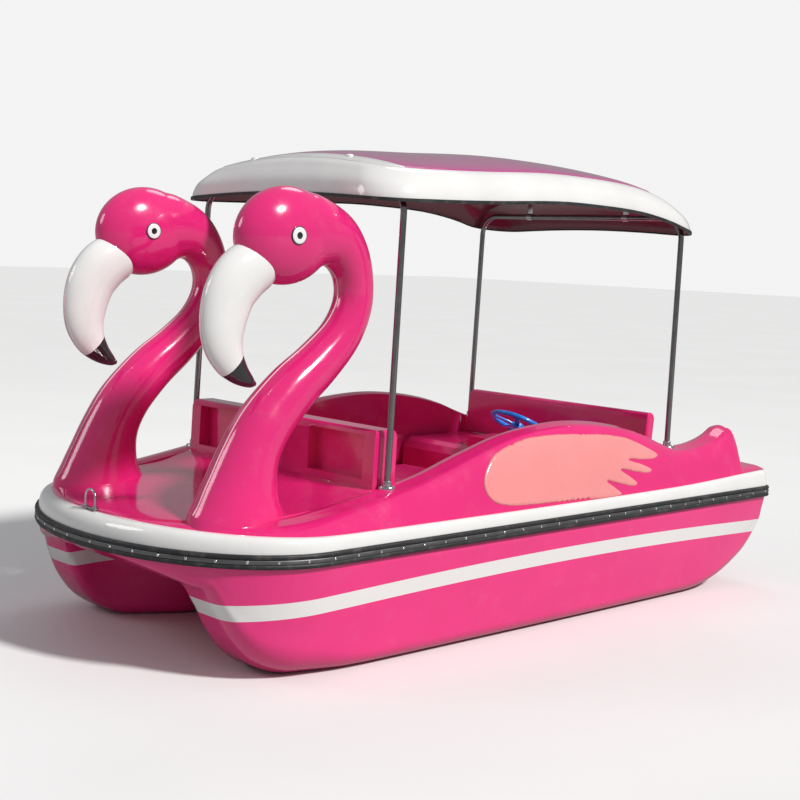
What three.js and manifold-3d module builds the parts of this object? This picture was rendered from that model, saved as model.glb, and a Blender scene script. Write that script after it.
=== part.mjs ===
// A four-seat fibreglass pedal boat with two bird figureheads, a canopy on two tube frames,
// a pedal-driven paddle wheel amidships and a rudder turned by a small steering wheel.
// Millimetres, +Z up. The bow points along -Y and the port side is +X.
// The origin is on the keel plane, on the centreline, half way along the hull.
import * as THREE from "three";
import { mergeVertices } from "three/addons/utils/BufferGeometryUtils.js";
import Module from "manifold-3d";

const wasm = await Module();
wasm.setup();

// ---------------------------------------------------------------- driving dimensions
const HALF_BEAM = 800; // centreline to the outside of the rub rail, at the shoulder
const HALF_LENGTH = 1659; // midships to the outside of the rub rail, at bow and stern
const SHOULDER_Y = -1104; // where the round bow runs into the long side
const STERN_HALF_BEAM = 794; // half beam just ahead of the stern corners
const STERN_CORNER = 38; // radius of the stern corners in plan
const SHELL = 6; // laminate thickness of hull, deck and seats
const GAP = 0.5; // clearance between neighbouring pieces
const ROUND = 12; // sides of a round bar, shaft or bore

const HULL_TOP = 440; // height of the joint between hull and deck
const HULL_INSET = 14; // hull and deck edge behind the outside of the rub rail
const HULL_FLARE = 62; // how far the side leans in from the joint to the keel
const TUNNEL_ROOF = 340; // roof of the tunnel between the two floats
const TUNNEL_HALF = 225; // half width of the tunnel at its roof
const TUNNEL_MOUTH = 400; // half width of the tunnel between the noses of the floats
const SKIRT_Y = -1490; // lower edge of the raked skirt under the bow
const TRANSOM_Y = 1630; // inside of the stern wall

const CREST_OUT = 0.872; // outer and inner edge of the coaming's top, as a share of
const CREST_IN = 0.772; // the half width at the top of the white gunwale band
const OPENING_HALF = 574; // cockpit opening in the deck
const OPENING_FRONT = -600;
const OPENING_REAR = 926;
const TUB_RIM = 462; // height of the cockpit rim under the coaming
const SOLE = 375; // top of the cockpit sole
const WELL_FLOOR = 115; // top of the footwell floors
const WELL_IN = 272; // footwells, from the centreline
const WELL_OUT = 566;
const WELL_FRONT = -215;
const WELL_REAR = 470;

const POST_X = 625; // canopy posts
const POST_RADIUS = 12.5;
const POST_RAKE = 37; // how far each post leans aft between its foot and the canopy
const FRONT_POST_Y = -704;
const REAR_POST_Y = 1030;
const FRAME_BEND = 95; // bend radius of the canopy frames
const ROOF_HALF_WIDTH = 672;
const ROOF_FRONT = -800;
const ROOF_REAR = 1200;
const FRONT_CORNER = 165; // radius of the canopy's corners in plan
const REAR_CORNER = 200;

const BIRD_X = 460; // centre plane of each figurehead
const EYE_BOLT_Y = -1590; // mooring eye on the foredeck
const EYE_BOLT_HALF = 33;
const EYE_BOLT_TOP = 608;

const DRIVE_Y = 0; // axis of the paddle wheel and its cranks
const DRIVE_Z = 300;
const WHEEL_RADIUS = 220;
const WHEEL_HALF_WIDTH = 170;
const AXLE_RADIUS = 14;
const CRANK_THROW = 115;
const CRANK_RADIUS = 9;

const HELM_TILT = THREE.MathUtils.degToRad(28); // the steering column leans aft
const HELM_CENTRE = new THREE.Vector3(0, 712, 722); // centre of the steering wheel's rim
const HELM_RADIUS = 140;
const COLUMN_RADIUS = 10;
const RUDDER_Y = 1390;
const TILLER_LENGTH = 80;
const CABLE_Z = 420; // height of the steering cable and the tiller's pin

// ---------------------------------------------------------------- finishes
const finish = (color, roughness, metalness = 0) =>
  new THREE.MeshStandardMaterial({ color, roughness, metalness });
const PINK = finish(0xf0307f, 0.18);
const PINK_ROOF = finish(0xc85a98, 0.22);
const WHITE = finish(0xf4f4f2, 0.25);
const BLACK_GLOSS = finish(0x101012, 0.15);
const RUBBER = finish(0x17181a, 0.6);
const STRIP = finish(0x7d7f80, 0.4, 0.8);
const STAINLESS = finish(0xb9bcc0, 0.25, 1);
const BLUE = finish(0x1c6fd6, 0.3);
const DARK_PLASTIC = finish(0x2a2b2e, 0.5);
const GREY_PLASTIC = finish(0xa6a8ab, 0.45);

// ---------------------------------------------------------------- small tools
const v3 = (x, y, z) => new THREE.Vector3(x, y, z);
const clamp = THREE.MathUtils.clamp;
const lerp = THREE.MathUtils.lerp;

// A smooth curve through [position, value] pairs, flat outside them.
function through(knots) {
  const last = knots.length - 1;
  return (at) => {
    if (at <= knots[0][0]) return knots[0][1];
    if (at >= knots[last][0]) return knots[last][1];
    const i = knots.findIndex((k) => k[0] > at) - 1;
    const [p0, p1, p2, p3] = [i - 1, i, i + 1, i + 2].map((j) => knots[clamp(j, 0, last)]);
    const slope = (a, b) => (b[0] === a[0] ? 0 : (b[1] - a[1]) / (b[0] - a[0]));
    const span = p2[0] - p1[0];
    const t = (at - p1[0]) / span;
    const start = slope(p0, p2) * span;
    const end = slope(p1, p3) * span;
    return (
      (2 * t ** 3 - 3 * t ** 2 + 1) * p1[1] +
      (t ** 3 - 2 * t ** 2 + t) * start +
      (3 * t ** 2 - 2 * t ** 3) * p2[1] +
      (t ** 3 - t ** 2) * end
    );
  };
}

// Six times the signed volume inside a triangle list, to tell which way its faces point.
function signedVolume(points, faces) {
  let sum = 0;
  for (const [a, b, c] of faces) {
    sum += points[a].dot(v3().crossVectors(points[b], points[c]));
  }
  return sum;
}

function geometryFrom(points, faces) {
  const outward = signedVolume(points, faces) > 0;
  const index = faces.flatMap(([a, b, c]) => (outward ? [a, b, c] : [a, c, b]));
  const geometry = new THREE.BufferGeometry().setFromPoints(points);
  return geometry.setIndex(index);
}

// The skin over a row of closed loops that all have the same number of points.
// The ends are capped flat or fanned from their centres, or the last loop joins the first.
function loft(loops, ends = "flat") {
  const joined = ends === "joined";
  const count = loops[0].length;
  const points = loops.flat();
  const faces = [];
  const spans = joined ? loops.length : loops.length - 1;
  for (let i = 0; i < spans; i++) {
    const from = i * count;
    const to = ((i + 1) % loops.length) * count;
    for (let j = 0; j < count; j++) {
      const k = (j + 1) % count;
      faces.push([from + j, from + k, to + k], [from + j, to + k, to + j]);
    }
  }
  if (!joined) {
    addCap(loops[0], 0, points, faces, true, ends);
    addCap(loops[loops.length - 1], (loops.length - 1) * count, points, faces, false, ends);
  }
  return geometryFrom(points, faces);
}

// Closes one end loop. A loop with points in line is fanned from its centre too.
function addCap(loop, offset, points, faces, reversed, ends) {
  const normal = v3();
  loop.forEach((p, i) => normal.add(v3().crossVectors(p, loop[(i + 1) % loop.length])));
  const turn = new THREE.Quaternion().setFromUnitVectors(normal.normalize(), v3(0, 0, 1));
  const flat = loop.map((p) => {
    const q = p.clone().applyQuaternion(turn);
    return new THREE.Vector2(q.x, q.y);
  });
  let lids = THREE.ShapeUtils.triangulateShape(flat, []);
  lids = lids.map((lid) => lid.map((i) => i + offset));
  if (ends === "fan" || lids.length !== loop.length - 2) {
    const centre = v3();
    loop.forEach((p) => centre.addScaledVector(p, 1 / loop.length));
    points.push(centre);
    const hub = points.length - 1;
    lids = loop.map((_, i) => [offset + i, offset + ((i + 1) % loop.length), hub]);
  }
  faces.push(...lids.map(([a, b, c]) => (reversed ? [a, c, b] : [a, b, c])));
}

// A round bar along a row of points.
function bar(path, radius, sides = 10) {
  const loops = [];
  let side = null;
  path.forEach((point, i) => {
    const before = path[Math.max(i - 1, 0)];
    const after = path[Math.min(i + 1, path.length - 1)];
    const along = after.clone().sub(before).normalize();
    if (!side) side = Math.abs(along.x) < 0.9 ? v3(1, 0, 0) : v3(0, 1, 0);
    side = side.clone().addScaledVector(along, -side.dot(along)).normalize();
    const up = v3().crossVectors(along, side);
    const loop = [];
    for (let j = 0; j < sides; j++) {
      const angle = (2 * Math.PI * j) / sides;
      loop.push(
        point
          .clone()
          .addScaledVector(side, radius * Math.cos(angle))
          .addScaledVector(up, radius * Math.sin(angle)),
      );
    }
    loops.push(loop);
  });
  return loft(loops);
}

// Rounds every inner corner of a row of points with a short arc.
function rounded(path, radius, steps = 4) {
  const out = [path[0]];
  for (let i = 1; i < path.length - 1; i++) {
    const start = path[i].clone().lerp(path[i - 1], radius / path[i].distanceTo(path[i - 1]));
    const end = path[i].clone().lerp(path[i + 1], radius / path[i].distanceTo(path[i + 1]));
    const bend = new THREE.QuadraticBezierCurve3(start, path[i], end);
    out.push(...bend.getPoints(steps));
  }
  out.push(path[path.length - 1]);
  return out;
}

function solid(geometry) {
  const bare = geometry.clone();
  bare.deleteAttribute("normal");
  bare.deleteAttribute("uv");
  const merged = mergeVertices(bare, 1e-4);
  return new wasm.Manifold(
    new wasm.Mesh({
      numProp: 3,
      vertProperties: new Float32Array(merged.attributes.position.array),
      triVerts: new Uint32Array(merged.index.array),
    }),
  );
}

function geometryOf(body) {
  const { vertProperties, triVerts, numProp } = body.getMesh();
  const position = [];
  for (let i = 0; i < vertProperties.length; i += numProp) {
    position.push(vertProperties[i], vertProperties[i + 1], vertProperties[i + 2]);
  }
  const geometry = new THREE.BufferGeometry();
  geometry.setAttribute("position", new THREE.Float32BufferAttribute(position, 3));
  return geometry.setIndex([...triVerts]);
}

// Radius of a bore with flat sides that a round shaft can turn in.
const boreFor = (shaftRadius) => (shaftRadius + 0.3) / Math.cos(Math.PI / ROUND);

// The largest piece of a solid, without the slivers that a cut can leave.
function mainBody(body) {
  return body.decompose().reduce((a, b) => (b.volume() > a.volume() ? b : a));
}

function box(x0, x1, y0, y1, z0, z1) {
  const shape = new THREE.BoxGeometry(x1 - x0, y1 - y0, z1 - z0);
  return shape.translate((x0 + x1) / 2, (y0 + y1) / 2, (z0 + z1) / 2);
}

// A cylinder whose axis runs along X, Y or Z between two positions on that axis.
function cylinder(axis, radius, from, to, a, b, sides = ROUND) {
  const shape = new THREE.CylinderGeometry(radius, radius, to - from, sides);
  const middle = (from + to) / 2;
  if (axis === "x") return shape.rotateZ(-Math.PI / 2).translate(middle, a, b);
  if (axis === "y") return shape.translate(a, middle, b);
  return shape.rotateX(Math.PI / 2).translate(a, b, middle);
}

const boat = new THREE.Group();

function place(name, shape, material, parent = boat) {
  const geometry = shape.isBufferGeometry ? shape : geometryOf(shape);
  const mesh = new THREE.Mesh(geometry, material);
  mesh.name = name;
  parent.add(mesh);
  return mesh;
}

// ---------------------------------------------------------------- plan of the boat
// Radius of the stern corner of a line that lies a given inset behind the rail.
const sternCorner = (inset) => Math.max(STERN_CORNER - inset, 1);

// Half width of the boat's plan at y, for a line that lies a given inset behind the rail.
function halfWidth(y, inset) {
  const bow = HALF_LENGTH + SHOULDER_Y - inset;
  const beam = HALF_BEAM - inset;
  if (y < SHOULDER_Y) {
    return beam * Math.sqrt(Math.max(0, 1 - ((SHOULDER_Y - y) / bow) ** 2));
  }
  const cornerY = HALF_LENGTH - STERN_CORNER;
  const run = clamp((y - SHOULDER_Y) / (cornerY - SHOULDER_Y), 0, 1);
  const side = beam - (HALF_BEAM - STERN_HALF_BEAM) * run ** 2;
  const corner = sternCorner(inset);
  const past = clamp((y - cornerY) / corner, 0, 1);
  return side - corner * (1 - Math.sqrt(1 - past ** 2));
}

// The closed plan line at a given inset, port side first, from the bow to the stern and back.
function planLine(inset) {
  const half = [];
  const bow = HALF_LENGTH + SHOULDER_Y - inset;
  const steps = 8;
  for (let i = 0; i <= steps; i++) {
    const angle = (Math.PI / 2) * (i / steps);
    half.push([(HALF_BEAM - inset) * Math.sin(angle), SHOULDER_Y - bow * Math.cos(angle)]);
  }
  const cornerY = HALF_LENGTH - STERN_CORNER;
  for (const share of [0.4, 0.75]) {
    const y = lerp(SHOULDER_Y, cornerY, share);
    half.push([halfWidth(y, inset), y]);
  }
  const corner = sternCorner(inset);
  for (let i = 0; i <= 4; i++) {
    const angle = (Math.PI / 2) * (i / 4);
    const x = STERN_HALF_BEAM - inset - corner * (1 - Math.cos(angle));
    half.push([x, cornerY + corner * Math.sin(angle)]);
  }
  half.push([0, HALF_LENGTH - inset]);
  const starboard = half.slice(1, -1).reverse();
  return [...half, ...starboard.map(([x, y]) => [-x, y])];
}

// A band round the boat from a closed section of [inset, height] points.
function bandRound(section) {
  const lines = section.map(([inset, z]) => planLine(inset).map(([x, y]) => v3(x, y, z)));
  const loops = lines[0].map((_, i) => lines.map((line) => line[i]));
  return loft(loops, "joined");
}

// Stations along the boat, close together where the plan turns quickly.
const bowStations = (inset) =>
  [4, 14, 28, 42, 56, 70, 84].map((angle) => {
    const bow = HALF_LENGTH + SHOULDER_Y - inset;
    return SHOULDER_Y - bow * Math.cos(THREE.MathUtils.degToRad(angle));
  });
const sternStations = (inset) =>
  [10, 40, 62, 80].map((angle) => {
    const corner = sternCorner(inset);
    return HALF_LENGTH - STERN_CORNER + corner * Math.sin(THREE.MathUtils.degToRad(angle));
  });

// The space behind the rub rail, which trims the edges of hull and deck to one line.
const railSeat = () =>
  bandRound([
    [-30, 412],
    [HULL_INSET, 412],
    [HULL_INSET, 470],
    [-30, 470],
  ]);

// ---------------------------------------------------------------- lower hull
const keelHeight = through([
  [-1645, 426],
  [-1490, 338],
  [-1458, 322],
  [-1425, 250],
  [-1372, 148],
  [-1300, 62],
  [-1200, 8],
  [-1100, 0],
  [1120, 0],
  [1300, 18],
  [1430, 52],
  [1535, 105],
  [1596, 172],
  [1628, 248],
  [1645, 325],
]);
const tunnelHalf = through([
  [-1400, TUNNEL_MOUTH],
  [-1240, TUNNEL_MOUTH - 20],
  [-960, TUNNEL_HALF + 8],
  [-850, TUNNEL_HALF],
]);
const bilgeRadius = through([
  [-1420, 60],
  [-1200, 150],
  [-950, 85],
  [-700, 70],
  [1200, 70],
  [1500, 110],
]);

// One cross-section of the hull, wall thickness inside its outer surface.
function hullSection(y, wall) {
  const skirt = clamp((SKIRT_Y - y) / (HALF_LENGTH - HULL_INSET + SKIRT_Y), 0, 1);
  const roof = lerp(TUNNEL_ROOF, HULL_TOP - 12, skirt) + wall;
  const keel = Math.min(Math.max(keelHeight(y), 0) + wall, roof - 1);
  const rim = halfWidth(y, HULL_INSET + wall);
  const depth = HULL_TOP - keel;
  const lean = HULL_FLARE * (depth / HULL_TOP);
  const bilge = Math.min(bilgeRadius(y), depth * 0.45, rim * 0.3);
  const side = rim - lean;
  const inner = Math.min(tunnelHalf(y), halfWidth(y, HULL_INSET) * 0.66) + wall;
  const drop = roof - keel;
  const soft = Math.min(34, drop * 0.3);
  const foot = Math.min(48, drop * 0.4);
  const half = [
    v3(inner - soft, y, roof),
    v3(inner, y, roof - soft),
    v3(inner + drop * 0.06, y, keel + foot),
    v3(inner + drop * 0.06 + foot * 0.3, y, keel + foot * 0.3),
    v3(inner + drop * 0.06 + foot, y, keel),
  ];
  for (const angle of [0, 30, 60, 90]) {
    const turn = THREE.MathUtils.degToRad(angle);
    const x = side - bilge + bilge * Math.sin(turn);
    half.push(v3(x + lean * 0.1 * Math.sin(turn), y, keel + bilge * (1 - Math.cos(turn))));
  }
  half.push(v3(lerp(side, rim, 0.62), y, keel + depth * 0.62));
  half.push(v3(rim, y, HULL_TOP));
  const starboard = half.map((p) => v3(-p.x, p.y, p.z));
  return [...starboard.reverse(), ...half];
}

function lowerHull() {
  const along = [-1455, -1400, -960, -850, 300, 1150, 1340, 1450, 1530, 1590];
  const stations = [...bowStations(HULL_INSET), ...along, ...sternStations(HULL_INSET)];
  stations.sort((a, b) => a - b);
  const hold = [stations[0] + 24, ...stations.slice(2, -4), TRANSOM_Y];
  const outer = stations.map((y) => hullSection(y, 0));
  const inner = hold.map((y) => {
    const section = hullSection(y, SHELL);
    section.push(...[1, -1].map((s) => v3(s * halfWidth(y, HULL_INSET + SHELL), y, HULL_TOP + 30)));
    return section;
  });
  const slot = box(-190, 190, DRIVE_Y - 245, DRIVE_Y + 245, TUNNEL_ROOF - 30, HULL_TOP);
  const holes = cylinder("x", 34, -320, 320, DRIVE_Y, DRIVE_Z);
  const post = cylinder("z", 17, TUNNEL_ROOF - 60, HULL_TOP, 0, RUDDER_Y);
  let shell = solid(loft(outer)).subtract(solid(loft(inner)));
  for (const cut of [slot, holes, post]) shell = shell.subtract(solid(cut));
  for (const side of [-1, 1]) shell = shell.subtract(solid(drainHole(side)));
  return mainBody(shell.subtract(solid(railSeat())));
}

// The drain openings in the raised sterns of the floats.
const DRAIN = { x: 470, y: HALF_LENGTH - HULL_INSET, z: 385, radius: 13 };
const drainHole = (side) => cylinder("y", DRAIN.radius, DRAIN.y - 90, DRAIN.y + 50, side * DRAIN.x, DRAIN.z);

// ---------------------------------------------------------------- deck
const bandTop = through([
  [-1645, 470],
  [-1634, 505],
  [-1618, 526],
  [-1587, 536],
  [-1350, 524],
  [-1000, 514],
  [900, 516],
  [1600, 540],
]);
const bandLean = through([
  [-1650, 58],
  [-1300, 40],
  [-1000, 22],
]);
const crest = through([
  [-1645, 472],
  [-1634, 507],
  [-1618, 528],
  [-1587, 541],
  [-1350, 542],
  [-1100, 562],
  [-740, 620],
  [-520, 666],
  [-300, 731],
  [-50, 794],
  [230, 822],
  [450, 812],
  [640, 784],
  [780, 749],
  [900, 706],
  [1020, 671],
  [1150, 668],
  [1260, 682],
  [1350, 706],
  [1425, 741],
  [1446, 734],
  [1462, 672],
  [1480, 580],
  [1520, 562],
  [1580, 556],
]);
const middleDeck = through([
  [-1645, 473],
  [-1634, 508],
  [-1618, 530],
  [-1587, 545],
  [-1100, 566],
  [-900, 586],
  [-740, 622],
  [-600, 634],
]);
const sternDeck = through([
  [926, 612],
  [1100, 598],
  [1600, 556],
]);

function deckHeight(y, wall) {
  if (y < OPENING_FRONT - wall) return middleDeck(y);
  if (y < OPENING_REAR + wall) return TUB_RIM + 8;
  return sternDeck(y);
}

function deckSection(y, wall, bottom) {
  const edge = halfWidth(y, HULL_INSET + wall);
  const top = Math.max(halfWidth(y, HULL_INSET + bandLean(y)), edge * 0.3);
  const band = bandTop(y) - wall;
  const rise = crest(y) - bandTop(y);
  const ridge = crest(y) - wall;
  const out = top * CREST_OUT;
  const inside = top * CREST_IN + 1.6 * wall;
  const deck = deckHeight(y, wall) - wall;
  const wallFoot = lerp(inside, OPENING_HALF + 4 + wall, deck < band ? 1 : 0);
  const half = [
    v3(edge, y, bottom),
    v3(edge, y, HULL_TOP + 24),
    v3(top, y, band),
    v3(lerp(top, out, 0.2), y, band + rise * 0.5),
    v3(lerp(top, out, 0.65), y, band + rise * 0.9),
    v3(out - 6, y, ridge),
    v3(inside + 6, y, ridge),
    v3(Math.min(wallFoot, inside - 1), y, Math.min(deck, ridge - 4)),
    v3(Math.min(wallFoot, inside) * 0.5, y, deck + (deck > band ? 5 : 0)),
  ];
  const starboard = half.map((p) => v3(-p.x, p.y, p.z));
  return [...starboard, ...half.reverse()];
}

function deckStations(inset, wall) {
  const along = [-880, -720, -460, -250, 0, 250, 500, 720, 860];
  const aft = [1020, 1180, 1300, 1390, 1425, 1446, 1462, 1480, 1520, 1600];
  const steps = [OPENING_FRONT - wall, OPENING_REAR + wall].flatMap((y) => [y - 1.5, y + 1.5]);
  const all = [...bowStations(inset), ...along, ...steps, ...aft, ...sternStations(inset)];
  return all.sort((a, b) => a - b);
}

// The deck as one solid block, without its hollow underside: other pieces are cut to sit on it.
function deckBlock() {
  const stations = deckStations(HULL_INSET, 0);
  return solid(loft(stations.map((y) => deckSection(y, 0, HULL_TOP + GAP))));
}

function deckMoulding(block) {
  const stations = deckStations(HULL_INSET + SHELL + 4, SHELL);
  const under = loft(stations.map((y) => deckSection(y, SHELL, HULL_TOP - 30)));
  const opening = box(-OPENING_HALF, OPENING_HALF, OPENING_FRONT, OPENING_REAR, 400, 900);
  let deck = block.subtract(solid(under)).subtract(solid(opening));
  for (const side of [-1, 1]) {
    deck = deck.subtract(solid(cylinder("z", 5, 480, 600, side * EYE_BOLT_HALF, EYE_BOLT_Y, 12)));
  }
  return mainBody(deck.subtract(solid(railSeat())));
}

// ---------------------------------------------------------------- rub rail
const rubRail = () =>
  bandRound([
    [HULL_INSET - GAP, 418],
    [4, 418],
    [0, 426],
    [5, 434],
    [5, 450],
    [0, 458],
    [4, 466],
    [HULL_INSET - GAP, 463],
  ]);
const railStrip = () =>
  bandRound([
    [4.5, 435],
    [1.5, 435],
    [1.5, 449],
    [4.5, 449],
  ]);

// ---------------------------------------------------------------- cockpit
function cockpitTub() {
  const rim = OPENING_HALF - 3;
  const front = OPENING_FRONT + 3;
  const rear = OPENING_REAR - 3;
  let tub = solid(box(-rim, rim, front, rear, SOLE - SHELL, TUB_RIM));
  tub = tub.subtract(
    solid(box(-rim + SHELL, rim - SHELL, front + SHELL, rear - SHELL, SOLE, TUB_RIM + 10)),
  );
  for (const side of [-1, 1]) {
    const [x0, x1] = [side * WELL_IN, side * WELL_OUT].sort((a, b) => a - b);
    tub = tub.add(solid(box(x0 - 4, x1 + 4, WELL_FRONT - 4, WELL_REAR + 4, WELL_FLOOR - 6, SOLE - 1)));
    tub = tub.subtract(solid(box(x0, x1, WELL_FRONT, WELL_REAR, WELL_FLOOR, SOLE + 10)));
  }
  const slot = box(-196, 196, DRIVE_Y - 250, DRIVE_Y + 250, SOLE - 20, SOLE + 10);
  const holes = cylinder("x", 34, -400, 400, DRIVE_Y, DRIVE_Z);
  const cable = cylinder("y", 10, OPENING_REAR - 60, OPENING_REAR + 10, TILLER_LENGTH, CABLE_Z);
  for (const cut of [slot, holes, cable]) tub = tub.subtract(solid(cut));
  return tub;
}

// The open-bottomed box that covers the paddle wheel.
function wheelHousing() {
  const profile = (grow) => {
    const foot = 236 + grow;
    const head = 150 + grow;
    const top = 540 + grow;
    return [
      [DRIVE_Y - foot, SOLE + GAP],
      [DRIVE_Y - foot, 440],
      [DRIVE_Y - head, top],
      [DRIVE_Y + head, top],
      [DRIVE_Y + foot, 440],
      [DRIVE_Y + foot, SOLE + GAP],
    ];
  };
  const block = (half, grow, low) =>
    solid(loft([-half, half].map((x) => profile(grow).map(([y, z], i) =>
      v3(x, y, i === 0 || i === 5 ? z - low : z)))));
  return block(188, SHELL, 0).subtract(block(182, 0, 20));
}

// A seat bench: an open-bottomed box with a round front lip, its length along X.
function bench(front, rear, top, half) {
  const deep = front < rear ? 1 : -1;
  const outline = (grow) => [
    [front + deep * (34 - grow), SOLE + GAP - (grow ? 0 : 20)],
    [front - deep * grow, SOLE + 70],
    [front + deep * (4 - grow), top - 48],
    [front + deep * 18, top - 16 - SHELL + grow],
    [front + deep * 48, top - SHELL + grow],
    [rear - deep * (SHELL - grow), top - SHELL + grow],
    [rear - deep * (SHELL - grow), SOLE + GAP - (grow ? 0 : 20)],
  ];
  const block = (h, grow) => solid(loft([-h, h].map((x) => outline(grow).map(([y, z]) => v3(x, y, z)))));
  return block(half, SHELL).subtract(block(half - SHELL, 0));
}

const BENCH_HALF = OPENING_HALF - 14;
const REAR_SEAT = { front: 500, rear: 914, top: 607, console: 660 };
const FRONT_SEAT = { front: -262, rear: -588, top: 585 };

function rearSeat() {
  const { front, rear, top } = REAR_SEAT;
  const console = (grow) =>
    box(
      -139 - grow,
      139 + grow,
      front + 31 - grow,
      front + 240 + grow,
      top - 30,
      REAR_SEAT.console - SHELL + grow,
    );
  let seat = bench(front, rear, top, BENCH_HALF).add(solid(console(SHELL)));
  seat = seat.subtract(solid(console(0)));
  const cable = cylinder("y", 10, rear - 60, rear + 10, TILLER_LENGTH, CABLE_Z);
  return seat.subtract(solid(cable)).subtract(solid(columnShape(15, -400, 60)));
}

const frontSeat = () => bench(FRONT_SEAT.front, FRONT_SEAT.rear, FRONT_SEAT.top, BENCH_HALF);

// A hollow backrest that stands on the deck. Its recesses open towards the bow.
function backrest({ half, front, rear, top, lean, recesses }, deck) {
  const base = 560;
  const level = (inset, up, soft) => {
    const [y0, y1] = [front + inset + soft, rear - inset - soft].map((y) => y + lean * up);
    const z = lerp(base, top - inset, up) - (up ? 0 : inset * 8);
    const x = half - inset - soft * 0.6;
    return [v3(-x, y0, z), v3(x, y0, z), v3(x, y1, z), v3(-x, y1, z)];
  };
  const shape = (inset) =>
    solid(loft([level(inset, 0, 0), level(inset, 0.9, 0), level(inset, 0.97, 6), level(inset, 1, 16)]));
  let body = shape(0);
  let hollow = shape(SHELL);
  for (const { from, to, low, high, depth } of recesses) {
    const cut = (grow) =>
      solid(box(from - grow, to + grow, front - 60, front + depth + grow, low - grow, high + grow));
    body = body.subtract(cut(0));
    hollow = hollow.subtract(cut(SHELL));
  }
  return mainBody(body.subtract(hollow).subtract(deck));
}

const FRONT_BACKREST = {
  half: 590,
  front: -748,
  rear: -636,
  top: 842,
  lean: 8,
  recesses: [-1, 1].map((side) => {
    const [from, to] = [side * 205, side * 528].sort((a, b) => a - b);
    return { from, to, low: 652, high: 820, depth: 52 };
  }),
};
const REAR_BACKREST = { half: 562, front: 932, rear: 985, top: 822, lean: 28, recesses: [] };

// ---------------------------------------------------------------- figureheads
const NECK = [
  // y, z, radius in the plane of the neck, radius across it
  [-1274, 500, 204, 148],
  [-1272, 560, 190, 138],
  [-1264, 640, 150, 121],
  [-1232, 760, 117, 108],
  [-1168, 872, 106, 100],
  [-1052, 992, 98, 92],
  [-932, 1086, 90, 86],
  [-824, 1190, 82, 80],
  [-768, 1300, 77, 76],
  [-766, 1400, 77, 76],
  [-803, 1488, 91, 82],
  [-876, 1552, 112, 89],
  [-985, 1574, 138, 96],
];
const HEAD = { y: -1104, z: 1555, along: 211, up: 179, across: 114, tilt: 6 };
const BEAK = [
  [-1218, 1450, 96, 72],
  [-1282, 1412, 104, 72],
  [-1332, 1350, 102, 67],
  [-1358, 1268, 95, 60],
  [-1360, 1186, 83, 52],
  [-1334, 1118, 65, 43],
  [-1288, 1066, 44, 32],
  [-1238, 1032, 23, 19],
  [-1212, 1022, 8, 8],
];
const TIP_PLANE = { y: -1316, z: 1096, turn: -0.76 }; // where the beak turns black
const BIRD_SHELL = 5;

// A body whose flat oval sections follow a line in the YZ plane.
function bodyAlong(rows, sides) {
  const loops = rows.map(([y, z, inPlane, across], i) => {
    const before = rows[Math.max(i - 1, 0)];
    const after = rows[Math.min(i + 1, rows.length - 1)];
    const along = v3(0, after[0] - before[0], after[1] - before[1]).normalize();
    const out = v3(0, along.z, -along.y);
    const loop = [];
    for (let j = 0; j < sides; j++) {
      const angle = (2 * Math.PI * j) / sides;
      const x = across * Math.sin(angle);
      loop.push(v3(x, y, z).addScaledVector(out, inPlane * Math.cos(angle)));
    }
    return loop;
  });
  return solid(loft(loops));
}

function headBall(grow) {
  const ball = new THREE.SphereGeometry(1, 16, 10);
  ball.scale(HEAD.across + grow, HEAD.along + grow, HEAD.up + grow);
  return solid(
    ball.rotateX(THREE.MathUtils.degToRad(HEAD.tilt)).translate(0, HEAD.y, HEAD.z),
  );
}

// The space beyond the plane where the beak turns black.
function tipSpace(start) {
  const space = box(-120, 120, start, 400, -200, 200).rotateX(TIP_PLANE.turn);
  return solid(space.translate(0, TIP_PLANE.y, TIP_PLANE.z));
}

function figurehead(side, deck) {
  const at = [side * BIRD_X, 0, 0];
  const name = side > 0 ? "port" : "starboard";
  const thin = NECK.map(([y, z, a, b], i) => [
    y,
    i ? z : z - 60,
    a - BIRD_SHELL,
    b - BIRD_SHELL,
  ]);
  const outside = bodyAlong(NECK, 14).add(headBall(0));
  const inside = bodyAlong(thin, 10).add(headBall(-BIRD_SHELL));
  const bill = bodyAlong(BEAK, 12).subtract(outside).subtract(headBall(GAP));
  const bird = outside.subtract(inside).translate(at).subtract(deck);
  place("figurehead_" + name, mainBody(bird), PINK);
  place("beak_" + name, mainBody(bill.subtract(tipSpace(0)).translate(at)), WHITE);
  place("beak_tip_" + name, mainBody(bill.intersect(tipSpace(GAP)).translate(at)), BLACK_GLOSS);
}

// ---------------------------------------------------------------- canopy
// Height of the canopy's rim along its sides. The ends arch up between the corners.
const rimSide = through([
  [-800, 1700],
  [-430, 1710],
  [-200, 1719],
  [150, 1736],
  [410, 1734],
  [685, 1721],
  [900, 1691],
  [1035, 1660],
  [1200, 1634],
]);

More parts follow.
